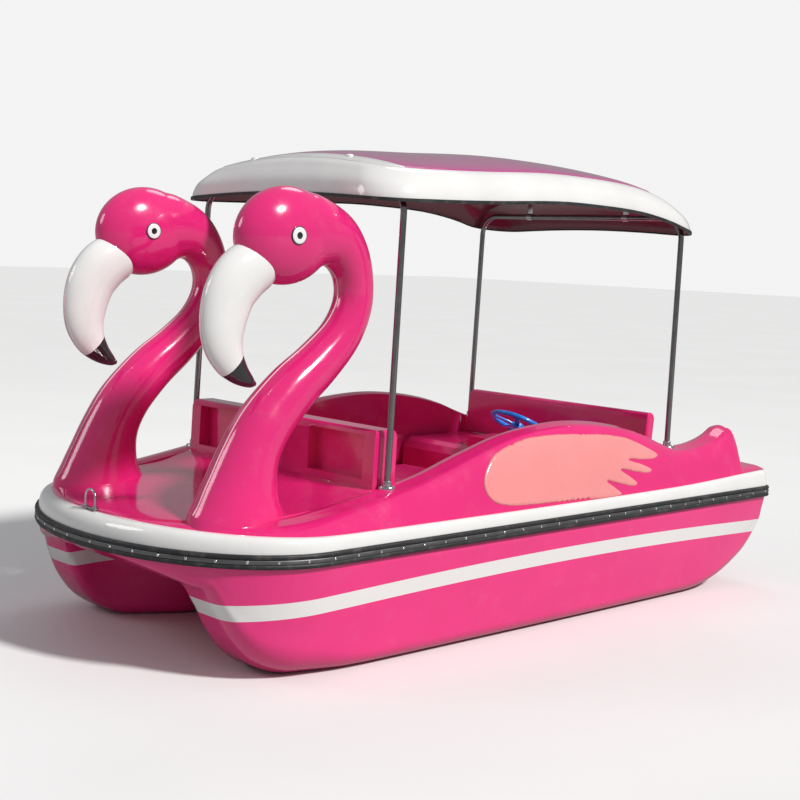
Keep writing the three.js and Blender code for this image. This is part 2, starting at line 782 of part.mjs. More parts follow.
// One level of the canopy: a rounded rectangle moved in from the rim's sides, front and rear,
// lifted above the rim and arched across the boat.
function roofLevel([side, front, rear, lift, arch]) {
  const a = ROOF_HALF_WIDTH - side;
  const middle = (ROOF_FRONT + ROOF_REAR) / 2;
  const quarter = (b, radius) => {
    const corner = Math.min(radius + 0.3 * side, a * 0.8, b * 0.8);
    const bend = [30, 60].map((angle) => {
      const turn = THREE.MathUtils.degToRad(angle);
      return [a - corner * (1 - Math.cos(turn)), b - corner * (1 - Math.sin(turn))];
    });
    return [[a, b * 0.4], [a, b - corner], ...bend, [a - corner, b], [(a - corner) * 0.5, b]];
  };
  const toRear = ROOF_REAR - middle - rear;
  const toFront = middle - ROOF_FRONT - front;
  const aft = quarter(toRear, REAR_CORNER);
  const fore = quarter(toFront, FRONT_CORNER);
  const flip = (points, sx, sy) => points.map(([x, y]) => [sx * x, sy * y]);
  const outline = [
    [a, 0],
    ...aft,
    [0, toRear],
    ...flip(aft, -1, 1).reverse(),
    [-a, 0],
    ...flip(fore, -1, -1),
    [0, -toFront],
    ...flip(fore, 1, -1).reverse(),
  ];
  return outline.map(([x, run]) => {
    const y = middle + run;
    const share = Math.cos((Math.PI / 2) * clamp(Math.abs(x) / ROOF_HALF_WIDTH, 0, 1));
    return v3(x, y, rimSide(y) + arch * share + lift);
  });
}

const END_ARCH = 26; // rise of the rim between its corners
const ROOF_LEVELS = [
  // moved in from the side, from the front, from the rear; lift; arch
  [0, 0, 0, 0, END_ARCH],
  [4, 4, 4, 30, END_ARCH],
  [16, 16, 26, 62, 30],
  [40, 44, 80, 90, 42],
  [74, 80, 190, 110, 58],
  [150, 170, 330, 118, 74],
  [330, 340, 540, 121, 84],
  [560, 560, 760, 122, 84],
];
const PANEL_LEVEL = 4; // the coloured panel starts just inside this level

const grown = ([side, front, rear, lift, arch], inset, up) =>
  roofLevel([side + inset, front + inset, rear + inset, lift + up, arch]);

function roofBlock(inset, drop) {
  return solid(loft(ROOF_LEVELS.map((level, i) => grown(level, inset, -drop - (i || !inset ? 0 : 20))), "fan"));
}

const roofShell = () => roofBlock(0, 0).subtract(roofBlock(SHELL, SHELL));

// The coloured panel on top: a skin that follows the shell inside one outline.
function roofPanel() {
  const edge = grown(ROOF_LEVELS[PANEL_LEVEL], 4, 0);
  const prism = [1600, 2100].map((z) => edge.map((p) => v3(p.x, p.y, z)));
  const skin = roofBlock(0, -5).subtract(roofBlock(0, -GAP));
  return mainBody(skin.intersect(solid(loft(prism))));
}

// The dark edge strip under the rim of the shell.
function roofTrim() {
  const loops = [
    [-3.4, -6],
    [-3.4, 7],
    [-1.6, 7],
    [-1.6, -3],
    [7, -3],
    [7, -6],
  ].map(([inset, lift]) => grown(ROOF_LEVELS[0], inset, lift));
  return loft(loops[0].map((_, i) => loops.map((loop) => loop[i])), "joined");
}

// One canopy frame: an inverted U of tube, foot to foot.
function canopyFrame(y, footZ, topZ) {
  const foot = (side) => v3(side * POST_X, y, footZ);
  const shoulder = (side) => v3(side * (POST_X - 4), y + POST_RAKE, topZ);
  const path = [foot(-1), shoulder(-1), shoulder(1), foot(1)];
  return bar(rounded(path, FRAME_BEND, 4), POST_RADIUS, ROUND);
}

// ---------------------------------------------------------------- paddle wheel and cranks
function paddleHub() {
  let hub = solid(cylinder("x", 34, -120, 120, DRIVE_Y, DRIVE_Z));
  for (let i = 0; i < 3; i++) {
    const arm = box(-70, 70, -(WHEEL_RADIUS - 95), WHEEL_RADIUS - 95, -3, 3);
    arm.rotateX((Math.PI / 3) * i).translate(0, DRIVE_Y, DRIVE_Z);
    hub = hub.add(solid(arm));
  }
  return hub.subtract(solid(cylinder("x", boreFor(AXLE_RADIUS), -200, 200, DRIVE_Y, DRIVE_Z)));
}

function paddleBlade(index) {
  const shape = box(-WHEEL_HALF_WIDTH, WHEEL_HALF_WIDTH, WHEEL_RADIUS - 140, WHEEL_RADIUS, 3.4, 9.4);
  return shape.rotateX((Math.PI / 3) * index).translate(0, DRIVE_Y, DRIVE_Z);
}

const paddleAxle = () => cylinder("x", AXLE_RADIUS, -318, 318, DRIVE_Y, DRIVE_Z);
const THROW_X = [338, 440, 532]; // the crank's three webs, from the centreline
const PEDAL_X = [389, 486]; // middle of the inner and outer pedal
const PEDAL_HALF = 34;

// A bent steel rod with two throws half a turn apart.
function crank(side) {
  const throwAt = (x, turn) => v3(side * x, DRIVE_Y, DRIVE_Z + turn * CRANK_THROW);
  const path = [
    throwAt(320, 0),
    throwAt(THROW_X[0], 0),
    throwAt(THROW_X[0], 1),
    throwAt(THROW_X[1], 1),
    throwAt(THROW_X[1], -1),
    throwAt(THROW_X[2], -1),
    throwAt(THROW_X[2], 0),
    throwAt(560, 0),
  ];
  return bar(rounded(path, 7, 1), CRANK_RADIUS, ROUND);
}

// A pedal block turned on the crank's throw.
function pedal(side, index) {
  const turn = index === 0 ? 1 : -1;
  const z = DRIVE_Z + turn * CRANK_THROW;
  const x = side * PEDAL_X[index];
  const tread = box(x - PEDAL_HALF, x + PEDAL_HALF, DRIVE_Y - 44, DRIVE_Y + 44, z - 13, z + 13);
  const bore = cylinder("x", boreFor(CRANK_RADIUS), x - 60, x + 60, DRIVE_Y, z);
  return solid(tread).subtract(solid(bore));
}

// The bush that carries the axle through the float's and the footwell's walls.
function innerBearing(side) {
  const near = side * 222;
  const far = side * 312;
  const [x0, x1] = [near, far].sort((a, b) => a - b);
  const flange = [side * 274, side * 284].sort((a, b) => a - b);
  let bush = solid(cylinder("x", 32, x0, x1, DRIVE_Y, DRIVE_Z));
  bush = bush.add(solid(cylinder("x", 52, flange[0], flange[1], DRIVE_Y, DRIVE_Z, 16)));
  return bush.subtract(
    solid(cylinder("x", boreFor(AXLE_RADIUS), x0 - 9, x1 + 9, DRIVE_Y, DRIVE_Z)),
  );
}

// The block that carries the outer end of a crank, on the footwell's outer wall.
function outerBearing(side) {
  const [x0, x1] = [side * 541, side * 565.4].sort((a, b) => a - b);
  const block = solid(box(x0, x1, DRIVE_Y - 34, DRIVE_Y + 34, DRIVE_Z - 30, DRIVE_Z + 30));
  return block.subtract(
    solid(cylinder("x", boreFor(CRANK_RADIUS), x0 - 9, x1 + 9, DRIVE_Y, DRIVE_Z)),
  );
}

// ---------------------------------------------------------------- steering
// A cylinder on the axis of the steering column, between two distances below the wheel.
function columnShape(radius, from, to, sides = ROUND) {
  const shape = new THREE.CylinderGeometry(radius, radius, to - from, sides);
  shape.translate(0, (from + to) / 2, 0).rotateX(Math.PI / 2 - HELM_TILT);
  return shape.translate(HELM_CENTRE.x, HELM_CENTRE.y, HELM_CENTRE.z);
}

function steeringWheel() {
  const rim = new THREE.TorusGeometry(HELM_RADIUS - 11, 11, 6, 24);
  let wheel = solid(rim);
  for (let i = 0; i < 5; i++) {
    const spoke = box(-11, 11, 16, HELM_RADIUS - 14, -16, -6);
    wheel = wheel.add(solid(spoke.rotateZ((2 * Math.PI * i) / 5)));
  }
  wheel = wheel.add(solid(cylinder("z", 30, -26, 2, 0, 0, 16)));
  return wheel.subtract(solid(cylinder("z", boreFor(COLUMN_RADIUS), -60, -2, 0, 0)));
}

const HELM_BOX = { half: 60, front: 540, rear: 645, top: 474 };

function columnBush() {
  const flange = solid(cylinder("z", 36, REAR_SEAT.console + GAP, REAR_SEAT.console + 7, 0, 680));
  const sleeve = solid(columnShape(20, -58, -36));
  return flange.add(sleeve).subtract(solid(columnShape(boreFor(COLUMN_RADIUS), -200, 0)));
}

function helmGearbox() {
  const { half, front, rear, top } = HELM_BOX;
  const body = solid(box(-half, half, front, rear, SOLE + GAP, top));
  return body.subtract(solid(columnShape(boreFor(COLUMN_RADIUS), -345, -200)));
}

// The push-pull cable in its sheath, with a straight guide tube at the rudder's end.
function steeringCable() {
  const path = [
    v3(40, HELM_BOX.rear + GAP, CABLE_Z),
    v3(40, 700, CABLE_Z),
    v3(TILLER_LENGTH, 860, CABLE_Z),
    v3(TILLER_LENGTH, 1215, CABLE_Z),
  ];
  const sheath = solid(bar(rounded(path, 40, 3), 8, 12));
  const bore = cylinder("y", 4.7, 1065, 1230, TILLER_LENGTH, CABLE_Z, 12);
  return sheath.subtract(solid(bore));
}

// The sliding rod of the cable, with a cross slot that drives the tiller's pin.
function steeringYoke() {
  const rod = cylinder("y", 4, 1125, 1378, TILLER_LENGTH, CABLE_Z, 12);
  const x = TILLER_LENGTH;
  const plate = box(x - 32, x + 16, RUDDER_Y - 15, RUDDER_Y + 15, CABLE_Z - 3, CABLE_Z + 3);
  const slot = box(x - 24, x + 8, RUDDER_Y - 7, RUDDER_Y + 7, CABLE_Z - 9, CABLE_Z + 9);
  return solid(rod).add(solid(plate)).subtract(solid(slot));
}

function tiller() {
  const low = CABLE_Z - 26;
  const high = CABLE_Z - 12;
  const hub = solid(cylinder("z", 24, low, high, 0, RUDDER_Y));
  const arm = solid(box(8, TILLER_LENGTH + 12, RUDDER_Y - 10, RUDDER_Y + 10, low, high));
  const pin = solid(cylinder("z", 5, high - 1, CABLE_Z + 10, TILLER_LENGTH, RUDDER_Y, 12));
  const bore = solid(cylinder("z", boreFor(STOCK_RADIUS), low - 5, high + 5, 0, RUDDER_Y));
  return hub.add(arm).add(pin).subtract(bore);
}

const STOCK_RADIUS = 12.5;
const RUDDER_BLADE = { low: 70, high: 322, front: 1335, rear: 1560, half: 9 };

// The bush that carries the rudder stock through the roof of the tunnel.
function rudderTube() {
  const tube = solid(cylinder("z", 16.2, 326, CABLE_Z - 28, 0, RUDDER_Y));
  const flange = solid(cylinder("z", 36, TUNNEL_ROOF + SHELL + GAP, 353, 0, RUDDER_Y));
  const bore = solid(cylinder("z", boreFor(STOCK_RADIUS), 300, 420, 0, RUDDER_Y));
  return tube.add(flange).subtract(bore);
}

// A thin symmetrical blade with a round leading edge.
function rudderBlade() {
  const { low, high, front, rear, half } = RUDDER_BLADE;
  const chord = rear - front;
  const outline = [
    [0, 0.25],
    [0.04, 0.75],
    [0.24, 1],
    [0.6, 0.72],
    [1, 0.12],
  ];
  const side = (sign) => outline.map(([run, share]) => [sign * share * half * 1.9, front + run * chord]);
  const plan = [...side(1), ...side(-1).reverse()];
  const loop = (z, cut) => plan.map(([x, y]) => v3(x, y + cut * ((rear - y) / chord), z));
  const blade = solid(loft([loop(low, 46), loop(low + 40, 8), loop(high, 0)]));
  return blade.subtract(solid(cylinder("z", boreFor(STOCK_RADIUS), 105, 400, 0, RUDDER_Y)));
}

const rudderStock = () => cylinder("z", STOCK_RADIUS, 106, CABLE_Z - 10, 0, RUDDER_Y);

// ---------------------------------------------------------------- fittings
// The round foot plate of a canopy post, cut to the deck it stands on.
function postFlange(side, y, z, deck) {
  const plate = solid(cylinder("z", 33, z - 40, z + 6, side * POST_X, y, 16));
  const socket = solid(cylinder("z", 18, z, z + 26, side * POST_X, y));
  const bore = solid(cylinder("z", boreFor(POST_RADIUS), z + 6.5, z + 60, side * POST_X, y));
  return mainBody(plate.add(socket).subtract(bore).subtract(deck));
}

// A clip that holds the canopy to a cross tube.
function saddle(x, y, z, roofInside) {
  const strap = solid(box(x - 17, x + 17, y - 24, y + 24, z - POST_RADIUS - 4, z + 160));
  const bore = solid(cylinder("x", boreFor(POST_RADIUS), x - 30, x + 30, y, z));
  return mainBody(strap.subtract(bore).intersect(roofInside));
}

function bowEye() {
  const leg = (side, z) => v3(side * EYE_BOLT_HALF, EYE_BOLT_Y, z);
  const path = [leg(-1, 505), leg(-1, EYE_BOLT_TOP), leg(1, EYE_BOLT_TOP), leg(1, 505)];
  return bar(rounded(path, 31, 5), 4.5, 10);
}

const drainPlug = (side) => {
  const { x, y, z, radius } = DRAIN;
  const stem = solid(cylinder("y", radius - 1, y - 30, y + 4, side * x, z));
  return stem.add(solid(cylinder("y", radius + 9, y, y + 10, side * x, z)));
};

// ---------------------------------------------------------------- assembly
const block = deckBlock();
const onDeck = block.translate([0, 0, GAP]);
const underRoof = roofBlock(SHELL, SHELL + GAP);
const FRONT_FRAME = { y: FRONT_POST_Y, foot: 632, top: 1752 };
const REAR_FRAME = { y: REAR_POST_Y, foot: 672, top: 1712 };

place("lower_hull", lowerHull(), PINK);
place("deck_moulding", deckMoulding(block), PINK);
place("rub_rail", rubRail(), RUBBER);
place("rub_rail_strip", railStrip(), STRIP);
place("cockpit_tub", cockpitTub(), PINK);
place("wheel_housing", wheelHousing(), PINK);
place("front_seat", frontSeat(), PINK);
place("rear_seat", rearSeat(), PINK);
place("front_backrest", backrest(FRONT_BACKREST, onDeck), PINK);
place("rear_backrest", backrest(REAR_BACKREST, onDeck), PINK);
place("bow_eye", bowEye(), STAINLESS);

place("roof_shell", roofShell(), WHITE);
place("roof_panel", roofPanel(), PINK_ROOF);
place("roof_trim", roofTrim(), RUBBER);
place("paddle_axle", paddleAxle(), STAINLESS);
place("paddle_hub", paddleHub(), DARK_PLASTIC);
for (let i = 0; i < 6; i++) place("paddle_blade_" + (i + 1), paddleBlade(i), GREY_PLASTIC);

for (const frame of [FRONT_FRAME, REAR_FRAME]) {
  const name = frame === FRONT_FRAME ? "front" : "rear";
  place(name + "_frame", canopyFrame(frame.y, frame.foot + 7, frame.top), STAINLESS);
  for (const side of [1, -1]) {
    const hand = side > 0 ? "_port" : "_starboard";
    place(name + "_post_foot" + hand, postFlange(side, frame.y, frame.foot, onDeck), STAINLESS);
    const clip = saddle(side * 300, frame.y + POST_RAKE, frame.top, underRoof);
    place(name + "_roof_clip" + hand, clip, STAINLESS);
  }
}

for (const side of [1, -1]) {
  const hand = side > 0 ? "_port" : "_starboard";
  figurehead(side, onDeck);
  place("drain_plug" + hand, drainPlug(side), DARK_PLASTIC);
  place("crank" + hand, crank(side), STAINLESS);
  place("inner_bearing" + hand, innerBearing(side), GREY_PLASTIC);
  place("outer_bearing" + hand, outerBearing(side), GREY_PLASTIC);
  place("inner_pedal" + hand, pedal(side, 0), DARK_PLASTIC);
  place("outer_pedal" + hand, pedal(side, 1), DARK_PLASTIC);
}

const helm = new THREE.Group();
helm.position.copy(HELM_CENTRE);
helm.rotation.x = -HELM_TILT;
boat.add(helm);
place("steering_wheel", steeringWheel(), BLUE, helm);
place("steering_column", columnShape(COLUMN_RADIUS, -338, -8), STAINLESS);
place("column_bush", columnBush(), DARK_PLASTIC);
place("helm_gearbox", helmGearbox(), DARK_PLASTIC);
place("steering_cable", steeringCable(), RUBBER);
place("steering_yoke", steeringYoke(), STAINLESS);
place("tiller", tiller(), STAINLESS);
place("rudder_stock", rudderStock(), STAINLESS);
place("rudder_tube", rudderTube(), GREY_PLASTIC);
place("rudder_blade", rudderBlade(), WHITE);

export default boat;
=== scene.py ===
"""Looks of the pedal boat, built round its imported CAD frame.

Lengths in the shape functions are millimetres in the boat's own frame: the bow points along -Y,
the port side is +X, and z is 0 on the plane the floats rest on.
"""

import math

import bmesh
import bpy
from mathutils import Matrix, Vector, geometry


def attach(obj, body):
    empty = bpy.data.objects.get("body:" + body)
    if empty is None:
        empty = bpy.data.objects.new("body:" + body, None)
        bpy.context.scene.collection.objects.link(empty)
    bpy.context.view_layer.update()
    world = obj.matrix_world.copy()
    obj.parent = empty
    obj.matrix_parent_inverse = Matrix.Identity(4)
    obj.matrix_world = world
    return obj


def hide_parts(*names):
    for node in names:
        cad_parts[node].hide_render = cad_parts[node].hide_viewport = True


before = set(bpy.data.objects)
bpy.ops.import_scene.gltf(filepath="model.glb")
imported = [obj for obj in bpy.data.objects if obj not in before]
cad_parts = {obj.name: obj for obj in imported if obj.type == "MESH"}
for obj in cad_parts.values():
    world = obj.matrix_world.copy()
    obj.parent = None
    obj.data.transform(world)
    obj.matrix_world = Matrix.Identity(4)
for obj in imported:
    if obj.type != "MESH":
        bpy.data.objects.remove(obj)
scene = bpy.context.scene
MM = 0.001


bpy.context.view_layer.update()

# ---------------------------------------------------------------- driving dimensions
HALF_BEAM = 800
HALF_LENGTH = 1659
SHOULDER_Y = -1104  # the bow's round plan ends here
STERN_HALF_BEAM = 794
STERN_CORNER = 38
HULL_TOP = 440  # joint between hull and deck
HULL_INSET = 14  # hull and deck lie this far inside the rail
HULL_FLARE = 62  # lean of the hull's sides over its full depth
TUNNEL_ROOF = 340
TUNNEL_HALF = 225
TUNNEL_MOUTH = 400
SKIRT_Y = -1490  # ahead of this the tunnel's roof rises towards the joint
CREST_OUT = 0.872  # edges of the coaming's crest, as shares of the deck's half width
CREST_IN = 0.772
OPENING_HALF = 574
OPENING_FRONT = -600
OPENING_REAR = 926
TUB_RIM = 462
POST_X = 625
POST_RADIUS = 12.5
POST_RAKE = 37  # the posts' heads are this far behind their feet
FRONT_POST = {"y": -704, "foot": 632, "top": 1752}
REAR_POST = {"y": 1030, "foot": 672, "top": 1712}
FRAME_BEND = 95
ROOF_HALF_WIDTH = 672
CLIP_X = 300
ROOF_FRONT = -800
ROOF_REAR = 1200
FRONT_CORNER = 165
REAR_CORNER = 200
END_ARCH = 26  # rise of the canopy's rim across the boat
BIRD_X = 460
EYE_BOLT_Y = -1590
EYE_BOLT_HALF = 33
EYE_BOLT_TOP = 608
DRIVE_Z = 300
CRANK_THROW = 115
CRANK_RADIUS = 9
THROW_X = (338, 440, 532)  # the webs of a crank, from the wheel outwards
PEDAL_X = (389, 486)  # middles of the inner and the outer pedal
HELM_CENTRE = Vector((0, 712, 722))
HELM_TILT = math.radians(28)
HELM_RADIUS = 140
HELM_THICK = 11
COLUMN_FOOT_Y = 680
SEAT_DECK = 660
SIDES = ((1, "port"), (-1, "starboard"))
UP = Vector((0, 0, 1))


# ---------------------------------------------------------------- small tools
def lerp(a, b, t):
    return a + (b - a) * t


def clamp(v, low, high):
    return max(low, min(high, v))


def spread(low, high, count):
    """count values from low to high, both included."""
    return [lerp(low, high, i / (count - 1)) for i in range(count)]


def through(knots):
    """A smooth curve through (position, value) pairs, flat outside them."""
    last = len(knots) - 1

    def slope(a, b):
        return 0 if b[0] == a[0] else (b[1] - a[1]) / (b[0] - a[0])

    def value(at):
        if at <= knots[0][0]:
            return knots[0][1]
        if at >= knots[last][0]:
            return knots[last][1]
        i = next(k for k in range(last + 1) if knots[k][0] > at) - 1
        p0, p1, p2, p3 = [knots[clamp(j, 0, last)] for j in range(i - 1, i + 3)]
        span = p2[0] - p1[0]
        t = (at - p1[0]) / span
        start = slope(p0, p2) * span
        end = slope(p1, p3) * span
        return (
            (2 * t**3 - 3 * t**2 + 1) * p1[1]
            + (t**3 - 2 * t**2 + t) * start
            + (3 * t**2 - 2 * t**3) * p2[1]
            + (t**3 - t**2) * end
        )

    return value


def finer(rows, steps):
    """Rows of numbers with smooth in-between rows added."""
    columns = [through(list(enumerate(column))) for column in zip(*rows)]
    count = (len(rows) - 1) * steps + 1
    return [[c(i / steps) for c in columns] for i in range(count)]


def bent(points, radius, steps=8):
    """A polyline with its corners rounded off."""
    points = [Vector(p) for p in points]
    out = [points[0]]
    for before, here, after in zip(points, points[1:], points[2:]):
        to_before = (before - here).normalized()
        to_after = (after - here).normalized()
        half = to_before.angle(to_after) / 2
        reach = min(radius / math.tan(half), (before - here).length * 0.48, (after - here).length * 0.48)
        turn_radius = reach * math.tan(half)
        centre = here + (to_before + to_after).normalized() * (turn_radius / math.sin(half))
        start = (here + to_before * reach - centre).normalized()
        end = (here + to_after * reach - centre).normalized()
        for i in range(steps + 1):
            out.append(centre + start.slerp(end, i / steps) * turn_radius)
    out.append(points[-1])
    return out


def piece(name, verts, faces, materials, tags=None, body="hull", angle=38, hides=(), slot=None):
    """One visible piece, from points in millimetres. It rides on a CAD body and may hide CAD nodes."""
    mesh = bpy.data.meshes.new(name)
    mesh.from_pydata([Vector(v) * MM for v in verts], [], faces)
    for material in materials:
        mesh.materials.append(material)
    if tags is not None:
        mesh.polygons.foreach_set("material_index", tags)
    shape = bmesh.new()
    shape.from_mesh(mesh)
    bmesh.ops.remove_doubles(shape, verts=shape.verts, dist=1e-6)
    bmesh.ops.recalc_face_normals(shape, faces=shape.faces)
    shape.to_mesh(mesh)
    shape.free()
    mesh.polygons.foreach_set("use_smooth", [True] * len(mesh.polygons))
    mesh.set_sharp_from_angle(angle=math.radians(angle))
    thing = bpy.data.objects.new(name, mesh)
    scene.collection.objects.link(thing)
    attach(thing, body)
    if hides:
        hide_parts(*hides)
    return thing


def skin(rows, closed=True, joined=False, caps=True):
    """Points and faces over rows of points. Rows may be closed rings, and the last may join the first."""
    across = len(rows[0])
    verts = [p for row in rows for p in row]
    faces = []
    ends = len(rows) if joined else len(rows) - 1
    turns = across if closed else across - 1
    for i in range(ends):
        for j in range(turns):
            a, b = i * across, ((i + 1) % len(rows)) * across
            k = (j + 1) % across
            faces.append((a + j, a + k, b + k, b + j))
    if closed and caps and not joined:
        faces.append(tuple(range(across)))
        faces.append(tuple(reversed(range(len(verts) - across, len(verts)))))
    return verts, faces


def sweep(path, radius, sides=24, flat=1.0, up=None):
    """Rings of points round a path; radius may be a list with one value per point."""
    path = [Vector(p) for p in path]
    last = len(path) - 1
    rings = []
    normal = None
    for i, here in enumerate(path):
        along = (path[min(i + 1, last)] - path[max(i - 1, 0)]).normalized()
        if normal is None:
            seed = Vector(up) if up else (Vector((1, 0, 0)) if abs(along.x) < 0.7 else Vector((0, 1, 0)))
            normal = (seed - along * seed.dot(along)).normalized()
        else:
            normal = (normal - along * normal.dot(along)).normalized()
        other = along.cross(normal)
        r = radius[i] if isinstance(radius, (list, tuple)) else radius
        ring = []
        for k in range(sides):
            angle = 2 * math.pi * k / sides
            ring.append(here + normal * (r * math.cos(angle)) + other * (r * flat * math.sin(angle)))
        rings.append(ring)
    return rings


def turned(centre, axis, profile, sides=32, hollow=False):
    """A profile of (radius, height) pairs turned about an axis; a hollow one joins its two ends."""
    axis = Vector(axis).normalized()
    seed = Vector((0, 0, 1)) if abs(axis.z) < 0.9 else Vector((1, 0, 0))
    a = (seed - axis * seed.dot(axis)).normalized()
    b = axis.cross(a)
    rows = []
    for radius, height in profile:
        row = []
        for k in range(sides):
            angle = 2 * math.pi * k / sides
            out = a * (radius * math.cos(angle)) + b * (radius * math.sin(angle))
            row.append(Vector(centre) + axis * height + out)
        rows.append(row)
    return skin(rows, joined=hollow)


def merged(parts):
    """Several (points, faces) pairs as one."""
    verts, faces = [], []
    for some_verts, some_faces in parts:
        shift = len(verts)
        verts += list(some_verts)
        faces += [tuple(i + shift for i in face) for face in some_faces]
    return verts, faces


def moved(part, matrix):
    verts, faces = part
    return [matrix @ Vector(v) for v in verts], faces


def dome(radius, height, steps=5):
    """Profile of a round fastener head on a flat seat."""
    rim = [(radius, 0), (radius, height * 0.35)]
    cap = []
    for i in range(1, steps + 1):
        angle = math.pi / 2 * i / steps
        cap.append((radius * math.cos(angle) + 0.01, height * (0.35 + 0.65 * math.sin(angle))))
    return rim + cap


def hexagon(centre, axis, radius, height):
    """A hexagon nut or bolt head with a soft top edge."""
    side = [(radius, 0), (radius, height * 0.8), (radius * 0.86, height), (0.01, height)]
    return turned(centre, axis, side, 6)


def bolt_circle(centre, axis, reach, count, start, size):
    """Bolt heads evenly round a circle in the plane across X or Z; start is the first one's angle."""
    a, b = ((0, 1, 0), (0, 0, 1)) if axis[0] else ((1, 0, 0), (0, 1, 0))
    heads = []
    for k in range(count):
        angle = math.radians(start + 360 / count * k)
        spot = Vector(centre) + Vector(a) * (reach * math.cos(angle)) + Vector(b) * (reach * math.sin(angle))
        heads.append(hexagon(spot, axis, *size))
    return heads


def rounded_box(low, high, radius, segments=3):
    """Points and faces of a box with all its edges rounded."""
    shape = bmesh.new()
    bmesh.ops.create_cube(shape, size=1)
    size = Vector(high) - Vector(low)
    middle = (Vector(high) + Vector(low)) / 2
    for v in shape.verts:
        v.co = Vector((v.co.x * size.x, v.co.y * size.y, v.co.z * size.z)) + middle
    edges = list(shape.edges)
    bmesh.ops.bevel(shape, geom=edges, offset=radius, segments=segments, profile=0.5, affect="EDGES")
    verts = [v.co.copy() for v in shape.verts]
    faces = [tuple(v.index for v in f.verts) for f in shape.faces]
    shape.free()
    return verts, faces


# ---------------------------------------------------------------- finishes
class Paint:
    """A node material under construction."""

    def __init__(self, name):
        self.material = bpy.data.materials.new(name)
        self.material.use_nodes = True
        self.nodes = self.material.node_tree.nodes
        self.links = self.material.node_tree.links
        self.shader = self.nodes["Principled BSDF"]
        self.place = self.nodes.new("ShaderNodeTexCoord").outputs["Object"]

    def put(self, socket, value):
        if hasattr(value, "is_output"):
            self.links.new(value, socket)
        elif isinstance(value, (tuple, list)) and len(value) == 3 and socket.type == "RGBA":
            socket.default_value = (*value, 1)
        else:
            socket.default_value = value

    def noise(self, scale, detail=3.0, rough=0.5, stretch=(1, 1, 1), twist=0.0):
        mapping = self.nodes.new("ShaderNodeMapping")
        mapping.inputs["Scale"].default_value = stretch
        self.put(mapping.inputs["Vector"], self.place)
        node = self.nodes.new("ShaderNodeTexNoise")
        self.put(node.inputs["Vector"], mapping.outputs["Vector"])
        node.inputs["Scale"].default_value = scale
        node.inputs["Detail"].default_value = detail
        node.inputs["Roughness"].default_value = rough
        node.inputs["Distortion"].default_value = twist
        return node.outputs["Fac"]

    def span(self, value, low, high, to_low=0.0, to_high=1.0):
        node = self.nodes.new("ShaderNodeMapRange")
        self.put(node.inputs["Value"], value)
        for key, number in zip(("From Min", "From Max", "To Min", "To Max"), (low, high, to_low, to_high)):
            node.inputs[key].default_value = number
        return node.outputs["Result"]

    def maths(self, operation, a, b=0.0, c=0.0):
        node = self.nodes.new("ShaderNodeMath")
        node.operation = operation
        for socket, value in zip(node.inputs, (a, b, c)):
            self.put(socket, value)
        return node.outputs["Value"]

    def mix(self, share, a, b):
        node = self.nodes.new("ShaderNodeMix")
        node.data_type = "RGBA"
        self.put(node.inputs["Factor"], share)
        self.put(node.inputs["A"], a)
        self.put(node.inputs["B"], b)
        return node.outputs["Result"]

    def axis(self, name):
        node = self.nodes.new("ShaderNodeSeparateXYZ")
        self.put(node.inputs["Vector"], self.place)
        return node.outputs[name]

    def bump(self, height, strength, distance, below=None):
        node = self.nodes.new("ShaderNodeBump")
        self.put(node.inputs["Height"], height)
        node.inputs["Strength"].default_value = strength
        node.inputs["Distance"].default_value = distance
        if below is not None:
            self.links.new(below, node.inputs["Normal"])
        return node.outputs["Normal"]

    def set(self, **values):
        for key, value in values.items():
            self.put(self.shader.inputs[key.replace("_", " ")], value)
        return self


def shade(colour, factor):
    return tuple(clamp(c * factor, 0, 1) for c in colour)


def gelcoat(name, colour, dull=0.16, second=None):
    """Moulded glossy gelcoat: slow waves, fine grain, faint mottling, dust and hairline scuffs."""
    paint = Paint(name)
    mottle = paint.span(paint.noise(3.1, 4), 0.35, 0.68)
    colours = paint.mix(mottle, shade(colour, 0.95), shade(colour, 1.03))
    if second is not None:
        colours = second(paint, colours)
    cloud = paint.noise(9, 6, 0.62)
    dust = paint.span(cloud, 0.56, 0.82, 0, 0.06)
    colours = paint.mix(dust, colours, (0.62, 0.56, 0.53))
    hair = paint.noise(7, 2, 0.5, (3, 90, 40), 0.4)
    scuff = paint.span(hair, 0.66, 0.72, 0, 0.16)
    rough = paint.maths("ADD", paint.span(cloud, 0.4, 0.75, dull - 0.04, dull + 0.12), scuff)
    slow = paint.bump(paint.noise(4.2, 2), 0.22, 0.012)
    grain = paint.bump(paint.noise(520, 2), 0.05, 0.0006, slow)
    paint.set(Base_Color=colours, Roughness=rough, Normal=grain, Coat_Weight=0.75, Coat_Roughness=0.05)
    paint.shader.inputs["Specular IOR Level"].default_value = 0.45
    return paint.material


def hull_stripe(paint, under):
    """White band along the sides of the hull, following the sheer."""
    y = paint.axis("Y")
    z = paint.axis("Z")
    middle = paint.maths("MULTIPLY_ADD", paint.maths("MULTIPLY", y, y), -0.01745, 0.302)
    middle = paint.maths("MULTIPLY_ADD", y, 0.0092, middle)
    away = paint.maths("ABSOLUTE", paint.maths("SUBTRACT", z, middle))
    outboard = paint.span(paint.maths("ABSOLUTE", paint.axis("X")), 0.36, 0.362)
    inside = paint.maths("MULTIPLY", paint.span(away, 0.0288, 0.0296, 1, 0), outboard)
    return paint.mix(inside, under, (0.86, 0.85, 0.84))


def roof_nose(paint, under):
    """White front end of the canopy's panel, with its boundary curved back at the sides."""
    side = paint.maths("POWER", paint.maths("ABSOLUTE", paint.maths("DIVIDE", paint.axis("X"), 0.6)), 4)
    edge = paint.maths("MULTIPLY_ADD", side, -0.05, paint.axis("Y"))
    ahead = paint.span(edge, -0.664, -0.662, 1, 0)
    return paint.mix(ahead, under, (0.84, 0.835, 0.825))


